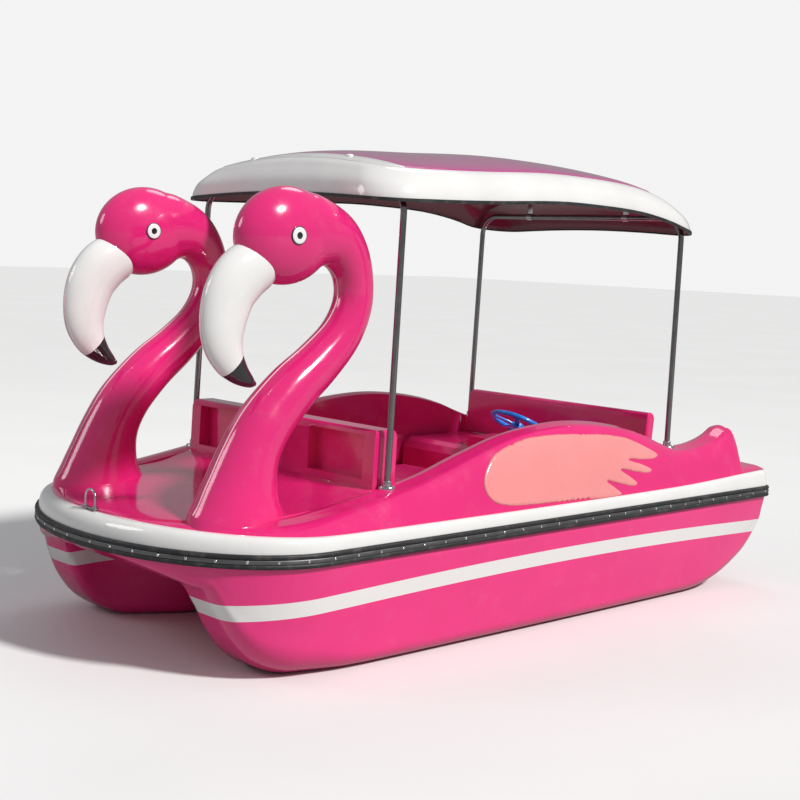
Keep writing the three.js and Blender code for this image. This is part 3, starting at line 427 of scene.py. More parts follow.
def moulded(name, colour, rough=0.45, grain=900, depth=0.12):
    """Textured moulded plastic or rubber, a little dusty and worn."""
    paint = Paint(name)
    mottle = paint.noise(11, 5)
    colours = paint.mix(paint.span(mottle, 0.35, 0.7), shade(colour, 0.82), shade(colour, 1.15))
    dust = paint.span(paint.noise(23, 6, 0.65), 0.52, 0.78, 0, 0.22)
    colours = paint.mix(dust, colours, (0.36, 0.34, 0.32))
    roughs = paint.span(mottle, 0.3, 0.75, rough - 0.08, rough + 0.14)
    pits = paint.bump(paint.noise(grain, 2), depth, 0.0005)
    waves = paint.bump(paint.noise(18, 2), 0.12, 0.002, pits)
    paint.set(Base_Color=colours, Roughness=roughs, Normal=waves)
    return paint.material


def metal(name, colour, rough=0.2, stretch=(1, 1, 1)):
    """Bright metal with drawing lines, smears and small dull spots."""
    paint = Paint(name)
    smear = paint.noise(14, 5, 0.6)
    colours = paint.mix(paint.span(smear, 0.35, 0.7), shade(colour, 0.8), colour)
    lines = paint.noise(60, 3, 0.6, stretch)
    spots = paint.span(paint.noise(160, 2), 0.68, 0.76, 0, 0.3)
    roughs = paint.maths("ADD", paint.span(smear, 0.3, 0.7, rough - 0.06, rough + 0.12), spots)
    paint.set(Base_Color=colours, Roughness=roughs, Metallic=1.0, Normal=paint.bump(lines, 0.06, 0.0005))
    return paint.material


PINK = (0.78, 0.02, 0.19)
pink = gelcoat("pink_gelcoat", PINK)
hull_pink = gelcoat("hull_gelcoat", (0.9, 0.03, 0.235), 0.17, hull_stripe)
roof_pink = gelcoat("roof_gelcoat", (0.56, 0.045, 0.27), 0.14, roof_nose)
# Inside of the canopy: the dark pink of the bare inner shell, darkened further with painted shade from the
# roof above.
lining_with_painted_shade = gelcoat("roof_lining_painted_shade", (0.16, 0.018, 0.035), 0.4)
white = gelcoat("white_gelcoat", (0.84, 0.835, 0.825), 0.17)
peach = gelcoat("peach_gelcoat", (0.9, 0.3, 0.3), 0.22)
peach_edge = gelcoat("peach_edge", (0.8, 0.22, 0.25), 0.25)
seam_pale = gelcoat("seam_line", (0.86, 0.5, 0.6), 0.25)
black_gloss = gelcoat("black_gloss", (0.012, 0.012, 0.014), 0.12)
eye_white = gelcoat("eye_white", (0.9, 0.9, 0.9), 0.15)
rubber = moulded("black_rubber", (0.017, 0.018, 0.02), 0.5)
dark_plastic = moulded("dark_plastic", (0.03, 0.032, 0.036), 0.45)
grey_plastic = moulded("grey_plastic", (0.36, 0.37, 0.38), 0.42)
stainless = metal("stainless", (0.62, 0.63, 0.65), 0.2, (1, 1, 0.04))
# Darker than the stainless it stands for: a painted dark reflection of the surroundings in the polished frame
# tubes.
frame_metal_painted_reflection = metal("frame_tube_painted_reflection", (0.3, 0.3, 0.305), 0.15, (1, 1, 0.04))
strip_metal = metal("rail_strip", (0.2, 0.205, 0.21), 0.42)
screw_metal = metal("screw_metal", (0.85, 0.85, 0.85), 0.16)


def blue_plastic():
    """Glossy blue moulding that lets a little light through."""
    paint = Paint("blue_plastic")
    mottle = paint.noise(16, 4)
    colours = paint.mix(paint.span(mottle, 0.35, 0.7), (0.012, 0.19, 0.76), (0.02, 0.27, 0.92))
    grain = paint.bump(paint.noise(700, 2), 0.08, 0.0005)
    roughs = paint.span(paint.noise(30, 5), 0.35, 0.7, 0.2, 0.36)
    paint.set(Base_Color=colours, Roughness=roughs, Normal=grain, Coat_Weight=0.4)
    paint.set(Subsurface_Weight=0.08)
    return paint.material


blue = blue_plastic()


def laminated(thing, thick):
    """Gives an open skin its thickness in millimetres, behind the face that shows."""
    shell = thing.modifiers.new("laminate", "SOLIDIFY")
    shell.thickness = thick * MM
    shell.offset = -1


# ---------------------------------------------------------------- plan of the boat
def stern_corner(inset):
    return max(STERN_CORNER - inset, 1)


def half_width(y, inset):
    bow = HALF_LENGTH + SHOULDER_Y - inset
    beam = HALF_BEAM - inset
    if y < SHOULDER_Y:
        return beam * math.sqrt(max(0, 1 - ((SHOULDER_Y - y) / bow) ** 2))
    corner_y = HALF_LENGTH - STERN_CORNER
    run = clamp((y - SHOULDER_Y) / (corner_y - SHOULDER_Y), 0, 1)
    side = beam - (HALF_BEAM - STERN_HALF_BEAM) * run**2
    corner = stern_corner(inset)
    past = clamp((y - corner_y) / corner, 0, 1)
    return side - corner * (1 - math.sqrt(1 - past**2))


def plan_line(inset, fine=48):
    """The closed plan line at a given inset, port side first."""
    half = []
    bow = HALF_LENGTH + SHOULDER_Y - inset
    for angle in spread(0, math.pi / 2, fine):
        half.append(((HALF_BEAM - inset) * math.sin(angle), SHOULDER_Y - bow * math.cos(angle)))
    corner_y = HALF_LENGTH - STERN_CORNER
    for y in spread(SHOULDER_Y, corner_y, 30)[1:-1]:
        half.append((half_width(y, inset), y))
    corner = stern_corner(inset)
    for angle in spread(0, math.pi / 2, 14):
        x = STERN_HALF_BEAM - inset - corner * (1 - math.cos(angle))
        half.append((x, corner_y + corner * math.sin(angle)))
    for share in (0.66, 0.33, 0):
        half.append((half[-1][0] * share, HALF_LENGTH - inset))
    return half + [(-x, y) for x, y in reversed(half[1:-1])]


def band_round(section):
    lines = [[Vector((x, y, z)) for x, y in plan_line(inset)] for inset, z in section]
    return [list(ring) for ring in zip(*lines)]


def bow_stations(inset, count=26):
    bow = HALF_LENGTH + SHOULDER_Y - inset
    return [SHOULDER_Y - bow * math.cos(a) for a in spread(math.radians(2), math.pi / 2, count)]


def stern_stations(inset, count=12):
    corner = stern_corner(inset)
    return [HALF_LENGTH - STERN_CORNER + corner * math.sin(a) for a in spread(0, math.radians(87), count)]


# ---------------------------------------------------------------- lower hull
keel_height = through(
    [
        (-1645, 426), (-1490, 338), (-1458, 322), (-1425, 250), (-1372, 148), (-1300, 62),
        (-1200, 8), (-1100, 0), (1120, 0), (1300, 18), (1430, 52), (1535, 105), (1596, 172),
        (1628, 248), (1645, 325),
    ]
)
tunnel_half = through(
    [(-1400, TUNNEL_MOUTH), (-1240, TUNNEL_MOUTH - 20), (-960, TUNNEL_HALF + 8), (-850, TUNNEL_HALF)]
)
bilge_radius = through([(-1420, 60), (-1200, 150), (-950, 85), (-700, 70), (1200, 70), (1500, 110)])
SLOT_HALF = 190  # opening in the tunnel's roof for the paddle wheel
SLOT_Y = 245
SKIN_THICK = 5


def arc(centre, radius, start, end, count):
    """Points (x, z) on an arc, angles in degrees from +X towards +Z."""
    return [
        (centre[0] + radius * math.cos(math.radians(a)), centre[1] + radius * math.sin(math.radians(a)))
        for a in spread(start, end, count)
    ]


def hull_section(y):
    skirt = clamp((SKIRT_Y - y) / (HALF_LENGTH - HULL_INSET + SKIRT_Y), 0, 1)
    roof = lerp(TUNNEL_ROOF, HULL_TOP - 12, skirt)
    keel = min(max(keel_height(y), 0), roof - 1)
    rim = half_width(y, HULL_INSET)
    depth = HULL_TOP - keel
    lean = HULL_FLARE * depth / HULL_TOP
    bilge = min(bilge_radius(y), depth * 0.45, rim * 0.3)
    side = rim - lean
    inner = min(tunnel_half(y), rim * 0.66)
    drop = roof - keel
    soft = min(34, drop * 0.4)
    foot = min(48, drop * 0.45)
    wall = inner + drop * 0.06
    half = [(0, roof), (min(SLOT_HALF, inner * 0.6), roof), (inner - soft, roof)]
    half += arc((inner - soft, roof - soft), soft, 90, 0, 6)[1:]
    half += [(lerp(inner, wall, t), lerp(roof - soft, keel + foot, t)) for t in (0.33, 0.66)]
    half += arc((wall + foot, keel + foot), foot, 180, 270, 7)
    half += [(lerp(wall + foot, side - bilge, 0.5), keel)]
    turn = arc((side - bilge, keel + bilge), bilge, -90, 0, 9)
    half += [(x + lean * 0.1 * (x - side + bilge) / max(bilge, 1), z) for x, z in turn]
    low = half[-1]
    half += [(lerp(low[0], rim, t**0.92), lerp(low[1], HULL_TOP, t)) for t in spread(0, 1, 8)[1:]]
    port = [Vector((x, y, z)) for x, z in half]
    return [Vector((-p.x, p.y, p.z)) for p in reversed(port[1:])] + port


def build_hull():
    nose = spread(-1475, -1300, 30)
    run = spread(-1280, 1616, 84)
    stations = bow_stations(HULL_INSET) + nose + run + [-SLOT_Y, SLOT_Y] + stern_stations(HULL_INSET, 10)
    stations = sorted(set(round(y, 1) for y in stations))
    rows = [hull_section(y) for y in stations]
    verts, faces = skin(rows, closed=False)
    across = len(rows[0])
    faces.append(tuple(range(across)))
    faces.append(tuple(reversed(range(len(verts) - across, len(verts)))))

    def in_slot(face):
        if len(face) != 4:
            return False
        middle = sum((verts[i] for i in face), Vector()) / 4
        return abs(middle.x) < SLOT_HALF and abs(middle.y) < SLOT_Y and middle.z > TUNNEL_ROOF - 5

    faces = [f for f in faces if not in_slot(f)]
    hull = piece("hull_shell", verts, faces, [hull_pink], hides=["lower_hull"], slot="pink_gelcoat")
    laminated(hull, SKIN_THICK)


# ---------------------------------------------------------------- deck
band_top = through(
    [
        (-1587, 534), (-1350, 524), (-1000, 514), (900, 516), (1600, 540),
    ]
)
band_lean = through([(-1650, 58), (-1300, 40), (-1000, 22)])
crest = through(
    [
        (-1587, 537), (-1350, 542), (-1100, 562), (-740, 620), (-520, 666), (-300, 731),
        (-50, 794), (230, 822), (450, 812), (640, 784), (780, 749), (900, 706), (1020, 671),
        (1150, 668), (1260, 682), (1350, 706), (1425, 741), (1446, 734), (1462, 672),
        (1480, 580), (1520, 562), (1580, 556),
    ]
)
middle_deck = through(
    [
        (-1587, 540), (-1100, 566), (-900, 586), (-740, 622), (-600, 634),
    ]
)
stern_deck = through([(926, 612), (1100, 598), (1600, 556)])
STEP_ROUND = 16


def deck_height(y):
    """Height of the deck on the centreline, with its edges at the cockpit rounded over."""
    ahead = OPENING_FRONT - y
    behind = y - OPENING_REAR
    if ahead < 0 and behind < 0:
        return TUB_RIM
    surface = middle_deck(y) if ahead >= 0 else stern_deck(y)
    near = clamp(max(ahead, behind) / STEP_ROUND, 0, 1)
    return surface - STEP_ROUND * (1 - math.sqrt(1 - (1 - near) ** 2))


def flank(y):
    """Points (x, z) of the deck's outer side, from the top of the white band to the crest."""
    top = half_width(y, HULL_INSET + band_lean(y))
    low = band_top(y)
    rise = crest(y) - low
    out = top * CREST_OUT
    return [(lerp(top * 0.994, out, t), low + rise * (1 - (1 - t) ** 2.6)) for t in spread(0, 1, 12)]


def band_section(y):
    """Points (x, z) up the white band, as far in as the bow allows."""
    lean = band_lean(y)
    low = band_top(y)
    reach = y + HALF_LENGTH - HULL_INSET
    stop = 1
    if reach < lean:
        stop = (math.sqrt(1 + (lean - 2) * reach) - 1) / (lean - 2)
    points = []
    for t in spread(0, stop, 9):
        inset = 2 * t * (1 - t) + t**2 * lean
        z = (1 - t) ** 2 * (HULL_TOP + 24) + 2 * t * (1 - t) * (low + 4) + t**2 * low
        points.append((half_width(y, HULL_INSET + min(inset, reach)), z))
    return points


def deck_section(y):
    edge = half_width(y, HULL_INSET)
    band = band_section(y)
    side = flank(y)
    low = band_top(y)
    ridge = crest(y)
    rise = ridge - low
    inside = half_width(y, HULL_INSET + band_lean(y)) * CREST_IN
    out = side[-1][0]
    deck = deck_height(y)
    half = [(edge, HULL_TOP + 2)] + band + side
    brow = clamp(rise * 0.12, 0.5, 9)
    half += [(lerp(out, inside, t), ridge + brow * math.sin(math.pi * t)) for t in (0.25, 0.5, 0.75)]
    half.append((inside, ridge))
    foot_x = OPENING_HALF + 2 if deck < low else inside - 1
    foot_x = max(min(foot_x, inside - 1), 0)
    drop = ridge - deck
    half += [(lerp(inside, foot_x, t), ridge - drop * t) for t in (0.08, 0.3, 0.6, 0.85, 1)]
    crown = 5 if deck > low else 0
    half += [(foot_x * t, deck + crown * (1 - t * t)) for t in (0.97, 0.75, 0.5, 0.25, 0)]
    if y <= BAND_NOSE_Y:
        kept = 1 + len(band)
        half = half[:kept] + [(0, band[-1][1])] * (len(half) - kept)
    port = [Vector((x, y, z)) for x, z in half]
    return port + [Vector((-p.x, p.y, p.z)) for p in reversed(port[:-1])]


BAND_FACES = 9  # faces of a section from the hull joint to the top of the white band
BAND_NOSE_Y = -1587  # ahead of this the whole deck is white band


def build_deck():
    rounding = [STEP_ROUND * s for s in (0.02, 0.12, 0.3, 0.6, 1)]
    steps = [OPENING_FRONT - r for r in rounding] + [OPENING_REAR + r for r in rounding]
    steps += [OPENING_FRONT + 0.5, OPENING_REAR - 0.5]
    sides = spread(-1090, 1440, 96)
    tail = spread(1450, 1600, 14)
    nose = spread(-1644, BAND_NOSE_Y, 12) + [BAND_NOSE_Y + step for step in (1, 4, 9, 17, 28, 42)]
    stations = bow_stations(HULL_INSET) + nose + steps + sides + tail + stern_stations(HULL_INSET)
    stations = sorted(set(round(y, 2) for y in stations))
    rows = [deck_section(y) for y in stations]
    verts, faces = skin(rows, closed=False)
    across = len(rows[0])
    tags = []
    kept = []
    for face in faces:
        column = face[0] % across
        last = across - 2
        middle = sum((verts[i] for i in face), Vector()) / len(face)
        over_hole = abs(middle.x) < OPENING_HALF and OPENING_FRONT + 0.4 < middle.y < OPENING_REAR - 0.4
        if over_hole and middle.z < TUB_RIM + 3:
            continue
        kept.append(face)
        tags.append(1 if min(column, last - column) < BAND_FACES or middle.y < BAND_NOSE_Y else 0)
    for end in (range(across), reversed(range(len(verts) - across, len(verts)))):
        kept.append(tuple(end))
        tags.append(1)
    paints = [pink, white]
    deck = piece("deck_shell", verts, kept, paints, tags, hides=["deck_moulding"], slot="pink_gelcoat")
    laminated(deck, SKIN_THICK)


WING = [
    (-296, 628), (-262, 690), (-190, 742), (-30, 784), (140, 792), (300, 786), (470, 774),
    (620, 750), (745, 706), (828, 668), (800, 648), (700, 650), (612, 658), (700, 634),
    (768, 606), (738, 590), (640, 604), (552, 620), (610, 588), (658, 556), (626, 543),
    (530, 562), (452, 580), (506, 548), (546, 520), (500, 509), (300, 514), (100, 519),
    (-90, 526), (-210, 540), (-275, 574),
]


def closed_curve(points, steps):
    """A smooth closed line through points, with steps pieces between neighbours."""
    wrapped = points[-2:] + points + points[:2]
    return [Vector(p) for p in finer(wrapped, steps)[2 * steps : (len(points) + 2) * steps]]


def away_from(point, line):
    """Distance from a point to a closed line, positive inside it."""
    best = 1e9
    inside = False
    for a, b in zip(line, line[1:] + line[:1]):
        run = b - a
        t = clamp((point - a).dot(run) / max(run.length_squared, 1e-9), 0, 1)
        best = min(best, (point - a - run * t).length)
        if (a.y > point.y) != (b.y > point.y):
            if point.x < (b.x - a.x) * (point.y - a.y) / (b.y - a.y) + a.x:
                inside = not inside
    return best if inside else -best


def flank_x(y, z):
    side = flank(y)
    for (x0, z0), (x1, z1) in zip(side, side[1:]):
        if z <= z1:
            return lerp(x0, x1, (z - z0) / max(z1 - z0, 1e-6))
    return side[-1][0]


def build_wing(side, name):
    """A low relief of a folded wing on the deck's flank."""
    line = closed_curve(WING, 6)
    points = list(line)
    edges = [(i, (i + 1) % len(line)) for i in range(len(line))]
    step = 15
    for y in range(-300, 840, step):
        for z in range(500, 800, step):
            here = Vector((y + (z % 2) * step / 2, z))
            if away_from(here, line) > 3:
                points.append(here)
    inner = []
    for i, here in enumerate(line):
        run = (line[(i + 1) % len(line)] - line[i - 1]).normalized()
        for depth in (3.5, 8):
            lifted = here + Vector((-run.y, run.x)) * -depth
            if away_from(lifted, line) > depth * 0.8:
                inner.append(lifted)
    points += inner
    flat, _, faces, *_ = geometry.delaunay_2d_cdt(points, edges, [], 1, 0.5)
    verts = []
    heights = []
    for p in flat:
        depth = max(away_from(p, line), 0)
        raise_by = -1.5 + 6.5 * math.sin(math.pi / 2 * clamp(depth / 8, 0, 1))
        heights.append(depth)
        verts.append((side * (flank_x(p.x, p.y) + raise_by), p.x, p.y + raise_by * 0.15))
    tags = [1 if max(heights[i] for i in face) < 6.5 else 0 for face in faces]
    faces = [tuple(f) for f in faces]
    wing = piece("wing_" + name, verts, faces, [peach, peach_edge], tags, slot="pink_gelcoat")
    laminated(wing, 3)


# ---------------------------------------------------------------- rub rail
SCREW_SPACING = 108


def build_rail():
    rail = [(13.4, 417), (7, 416.5), (2.5, 418.5), (0.3, 423), (0.3, 428), (2.4, 432), (5.2, 434)]
    profile = rail + [(inset, 884 - z) for inset, z in reversed(rail)]
    rubber_ring = skin(band_round(profile), joined=True)
    piece("rub_rail_round", *rubber_ring, [rubber], angle=50, hides=["rub_rail"])
    strip = [(5.4, 434.6), (2.4, 434.8), (1.2, 437), (0.9, 442), (1.2, 447), (2.4, 449.2), (5.4, 449.4)]
    metal_ring = skin(band_round(strip), joined=True)
    piece("rail_strip_round", *metal_ring, [strip_metal], angle=50, hides=["rub_rail_strip"])
    line = [Vector((x, y, 0)) for x, y in plan_line(0.9, 90)]
    heads = []
    due = SCREW_SPACING
    for here, after in zip(line, line[1:] + line[:1]):
        length = (after - here).length
        run = (after - here).normalized()
        out = Vector((run.y, -run.x, 0))
        if out.dot(Vector((here.x, here.y * 0.3, 0))) < 0:
            out = -out
        while due < length:
            spot = here + run * due
            heads.append(turned((spot.x, spot.y, 442), out, dome(5.2, 2.6), 12))
            due += SCREW_SPACING
        due -= length
    piece("rail_screws", *merged(heads), [screw_metal])


build_hull()
build_deck()
for side, name in SIDES:
    build_wing(side, name)
build_rail()


# ---------------------------------------------------------------- figureheads
NECK = [
    (-1274, 500, 204, 148), (-1272, 560, 190, 138), (-1264, 640, 150, 121),
    (-1232, 760, 117, 108), (-1168, 872, 106, 100), (-1052, 992, 98, 92), (-932, 1086, 90, 86),
    (-824, 1190, 82, 80), (-768, 1300, 77, 76), (-766, 1400, 77, 76), (-803, 1488, 91, 82),
    (-876, 1552, 112, 93), (-985, 1574, 140, 104), (-1060, 1573, 141, 105),
]
HEAD = {"y": -1104, "z": 1555, "along": 211, "up": 179, "across": 114, "tilt": 6}
BEAK = [
    (-1182, 1462, 84, 64), (-1218, 1450, 96, 72), (-1282, 1412, 104, 72), (-1332, 1350, 102, 67),
    (-1358, 1268, 95, 60), (-1360, 1186, 83, 52), (-1334, 1118, 65, 43), (-1288, 1066, 44, 32),
    (-1238, 1032, 23, 19), (-1212, 1022, 8, 8),
]
TIP_PLANE = {"y": -1316, "z": 1096, "turn": -0.76}


def body_along(rows, sides, steps):
    """Rings of flat oval sections that follow a line in the YZ plane."""
    rows = finer(rows, steps)
    last = len(rows) - 1
    rings = []
    for i, (y, z, in_plane, across) in enumerate(rows):
        before, after = rows[max(i - 1, 0)], rows[min(i + 1, last)]
        along = Vector((0, after[0] - before[0], after[1] - before[1])).normalized()
        out = Vector((0, along.z, -along.y))
        ring = []
        for j in range(sides):
            angle = 2 * math.pi * j / sides
            x = across * math.sin(angle)
            ring.append(Vector((x, y, z)) + out * (in_plane * math.cos(angle)))
        rings.append(ring)
    return rings


def outline_of(rows, steps, side, lift):
    """The line a given height above a body's front or back, in its middle plane."""
    line = []
    rows = finer(rows, steps)
    last = len(rows) - 1
    for i, (y, z, in_plane, _) in enumerate(rows):
        before, after = rows[max(i - 1, 0)], rows[min(i + 1, last)]
        along = Vector((0, after[0] - before[0], after[1] - before[1])).normalized()
        out = Vector((0, along.z, -along.y))
        line.append(Vector((0, y, z)) + out * side * (in_plane + lift))
    return line


def head_point(direction, grow=0.0):
    """The point of the head's surface in a direction given in the head's own axes, and its normal."""
    turn = Matrix.Rotation(math.radians(HEAD["tilt"]), 3, "X")
    size = Vector((HEAD["across"], HEAD["along"], HEAD["up"]))
    unit = Vector(direction).normalized()
    local = Vector((unit.x * size.x, unit.y * size.y, unit.z * size.z))
    normal = Vector((unit.x / size.x, unit.y / size.y, unit.z / size.z)).normalized()
    at = turn @ (local + normal * grow) + Vector((0, HEAD["y"], HEAD["z"]))
    return at, turn @ normal


def head_ball():
    rows = []
    for up in spread(-88, 88, 41):
        row = []
        for k in range(60):
            angle = 2 * math.pi * k / 60
            flat = math.cos(math.radians(up))
            unit = (flat * math.cos(angle), flat * math.sin(angle), math.sin(math.radians(up)))
            row.append(head_point(unit)[0])
        rows.append(row)
    return skin(rows)


def applied(thing):
    """The object's mesh with its modifiers baked in."""
    graph = bpy.context.evaluated_depsgraph_get()
    mesh = bpy.data.meshes.new_from_object(thing.evaluated_get(graph))
    thing.modifiers.clear()
    thing.data = mesh
    return thing


def eye(side):
    """White disc, dark ring and pupil, each a low dome on the side of the head."""
    at, normal = head_point((side * 0.9, -0.087, 0.015))
    normal = (normal + Vector((side * 0.4, 0, 0))).normalized()
    parts = []
    tags = []
    for tag, (rim, low, high) in enumerate(((33, -9, 3.5), (29.5, 2.4, 5.2), (12.5, 4.3, 6.6))):
        profile = [(rim, low), (rim, high - 1.2), (rim * 0.96, high - 0.3), (rim * 0.8, high)]
        profile.append((0.01, high + 0.5))
        disc = turned(at - normal * 1.5, normal, profile, 40)
        parts.append(disc)
        tags += [tag] * len(disc[1])
    return merged(parts), tags


def build_bird(side, name):
    shift = Matrix.Translation((side * BIRD_X, 0, 0))
    trunk = merged([skin(body_along(NECK, 44, 6)), head_ball()])
    bird = piece("bird_" + name, *moved(trunk, shift), [pink], hides=["figurehead_" + name])
    remesh = bird.modifiers.new("one_skin", "REMESH")
    remesh.mode = "VOXEL"
    remesh.voxel_size = 7 * MM
    remesh.use_smooth_shade = True
    smooth = bird.modifiers.new("soft_joins", "SMOOTH")
    smooth.factor = 0.6
    smooth.iterations = 14
    applied(bird)
    bird.data.materials.clear()
    bird.data.materials.append(pink)
    bird.data.polygons.foreach_set("use_smooth", [True] * len(bird.data.polygons))

    bill = moved(skin(body_along(BEAK, 40, 8)), shift)
    plane_at = Vector((side * BIRD_X, TIP_PLANE["y"], TIP_PLANE["z"])) * MM
    plane_normal = Matrix.Rotation(TIP_PLANE["turn"], 3, "X") @ Vector((0, 1, 0))
    for part, keep_far, paint, node in (
        ("bill_", False, white, "beak_"),
        ("bill_tip_", True, black_gloss, "beak_tip_"),
    ):
        thing = piece(part + name, *bill, [paint], hides=[node + name])
        shape = bmesh.new()
        shape.from_mesh(thing.data)
        cut = bmesh.ops.bisect_plane(
            shape,
            geom=list(shape.verts) + list(shape.edges) + list(shape.faces),
            plane_co=plane_at,
            plane_no=plane_normal,
            clear_inner=keep_far,
            clear_outer=not keep_far,
        )
        rim = [e for e in cut["geom_cut"] if isinstance(e, bmesh.types.BMEdge)]
        bmesh.ops.holes_fill(shape, edges=rim)
        shape.to_mesh(thing.data)
        shape.free()
        thing.data.polygons.foreach_set("use_smooth", [True] * len(thing.data.polygons))
        thing.data.set_sharp_from_angle(angle=math.radians(50))

    lines = [outline_of(NECK[1:], 5, -1, 0.6), outline_of(BEAK[3:8], 5, 1, 0.3)]
    seams = [moved(skin(sweep(line, 2.4, 10)), shift) for line in lines]
    piece("seam_" + name, *merged(seams), [seam_pale])
    for eye_side, hand in ((1, "left"), (-1, "right")):
        part, tags = eye(eye_side)
        paints = [dark_plastic, eye_white, black_gloss]
        piece("eye_" + name + "_" + hand, *moved(part, shift), paints, tags, slot="white_gelcoat")


# ---------------------------------------------------------------- canopy
rim_side = through(
    [
        (-800, 1700), (-430, 1710), (-200, 1719), (150, 1736), (410, 1734), (685, 1721),
        (900, 1691), (1035, 1660), (1200, 1634),
    ]
)


def roof_level(side, fore, aft, lift, arch):
    """A closed ring moved in from the rim's sides, front and rear, lifted and arched across the boat."""
    a = ROOF_HALF_WIDTH - side
    middle = (ROOF_FRONT + ROOF_REAR) / 2

    def quarter(b, radius):
        corner = min(radius + 0.3 * side, a * 0.8, b * 0.8)
        points = [(a, b * t) for t in spread(0, 1 - corner / b, 14)]
        for angle in spread(0, math.pi / 2, 16)[1:]:
            points.append((a - corner * (1 - math.cos(angle)), b - corner * (1 - math.sin(angle))))
        points += [((a - corner) * t, b) for t in (0.8, 0.6, 0.4, 0.2)]
        return points

    to_rear = ROOF_REAR - middle - aft
    to_front = middle - ROOF_FRONT - fore
    rear = quarter(to_rear, REAR_CORNER)
    front = quarter(to_front, FRONT_CORNER)
    outline = rear + [(0, to_rear)] + [(-x, y) for x, y in reversed(rear)]
    outline += [(-x, -y) for x, y in front[1:]]
    outline += [(0, -to_front)] + [(x, -y) for x, y in reversed(front[1:])]
    ring = []
    for x, run in outline:
        share = math.cos(math.pi / 2 * clamp(abs(x) / ROOF_HALF_WIDTH, 0, 1))
        ring.append(Vector((x, middle + run, rim_side(middle + run) + arch * share + lift)))
    return ring


def grown(level, inset, up):
    side, fore, aft, lift, arch = level
    return roof_level(side + inset, fore + inset, aft + inset, lift + up, arch)


ROOF_LEVELS = [
    # moved in from the side, from the front, from the rear; lift; arch
    (0, 0, 0, 0, END_ARCH),
    (4, 4, 4, 30, END_ARCH),
    (16, 16, 26, 62, 30),
    (40, 44, 80, 90, 42),
    (74, 80, 190, 110, 58),
    (150, 170, 330, 118, 74),
    (330, 340, 540, 121, 84),
    (560, 560, 760, 122, 84),
    (655, 640, 850, 122, 84),
]
PANEL_LEVEL = 4
LEVEL_STEPS = 5  # in-between rings from one level to the next


def to_keel_line(ring):
    """The ring folded onto the centre plane, which closes a surface without a wide face."""
    return [Vector((0, p.y, p.z)) for p in ring]


def build_roof():
    rows = finer(ROOF_LEVELS, LEVEL_STEPS)
    outside = [roof_level(*row) for row in rows]
    inside = [grown(row, 6, -6 if i else 1) for i, row in enumerate(rows)]
    inside = [ring for ring in inside if ring[0].x > 12]
    around = len(outside[0])
    lower = [to_keel_line(inside[-1])] + inside[::-1]
    verts, faces = skin(lower + outside + [to_keel_line(outside[-1])], caps=False)
    tags = [0 if i < around * (len(lower) - 1) else 1 for i in range(len(faces))]
    # Inner faces take the lining colour with its painted shade; the outer faces are white.
    piece("roof_round", verts, faces, [lining_with_painted_shade, white], tags, hides=["roof_shell"])

    panel = rows[PANEL_LEVEL * LEVEL_STEPS :]
    under = [grown(row, 9, 2) for row in panel if row[0] < 640]
    upper = [grown(row, 9, 5.2) for row in panel if row[0] < 640]
    rings = [to_keel_line(under[-1])] + under[::-1]
    rings += [grown(panel[0], 5, 1), grown(panel[0], 4.4, 3), grown(panel[0], 6, 4.8)]
    rings += upper + [to_keel_line(upper[-1])]
    top = skin(rings, caps=False)
    piece("roof_panel_round", *top, [roof_pink], hides=["roof_panel"], slot="roof_pink")

    section = [(-3.4, -6), (-3.8, 0), (-3.4, 7), (-1.6, 7), (-1.6, -3), (7, -3), (7, -6), (2, -7)]
    rings = [list(r) for r in zip(*[grown(ROOF_LEVELS[0], inset, lift) for inset, lift in section])]
    piece("roof_trim_round", *skin(rings, joined=True), [rubber], hides=["roof_trim"])

    cap = [(17, 0), (17, 5), (13, 9), (5, 11), (0.01, 11.5)]
    fixings = []
    for side in (1, -1):
        for post in (FRONT_POST, REAR_POST):
            x, y = side * CLIP_X, post["y"] + POST_RAKE
            fixings.append(turned((x, y, roof_top(x, y) - 1), (0, 0, 1), cap, 24))
    piece("roof_fixings", *merged(fixings), [white])


def roof_top(x, y):
    """Height of the canopy's upper skin over a point, from its rings."""
    points = [p for row in finer(ROOF_LEVELS, 8) for p in roof_level(*row)]
    return min(points, key=lambda p: math.hypot(p.x - x, p.y - y)).z


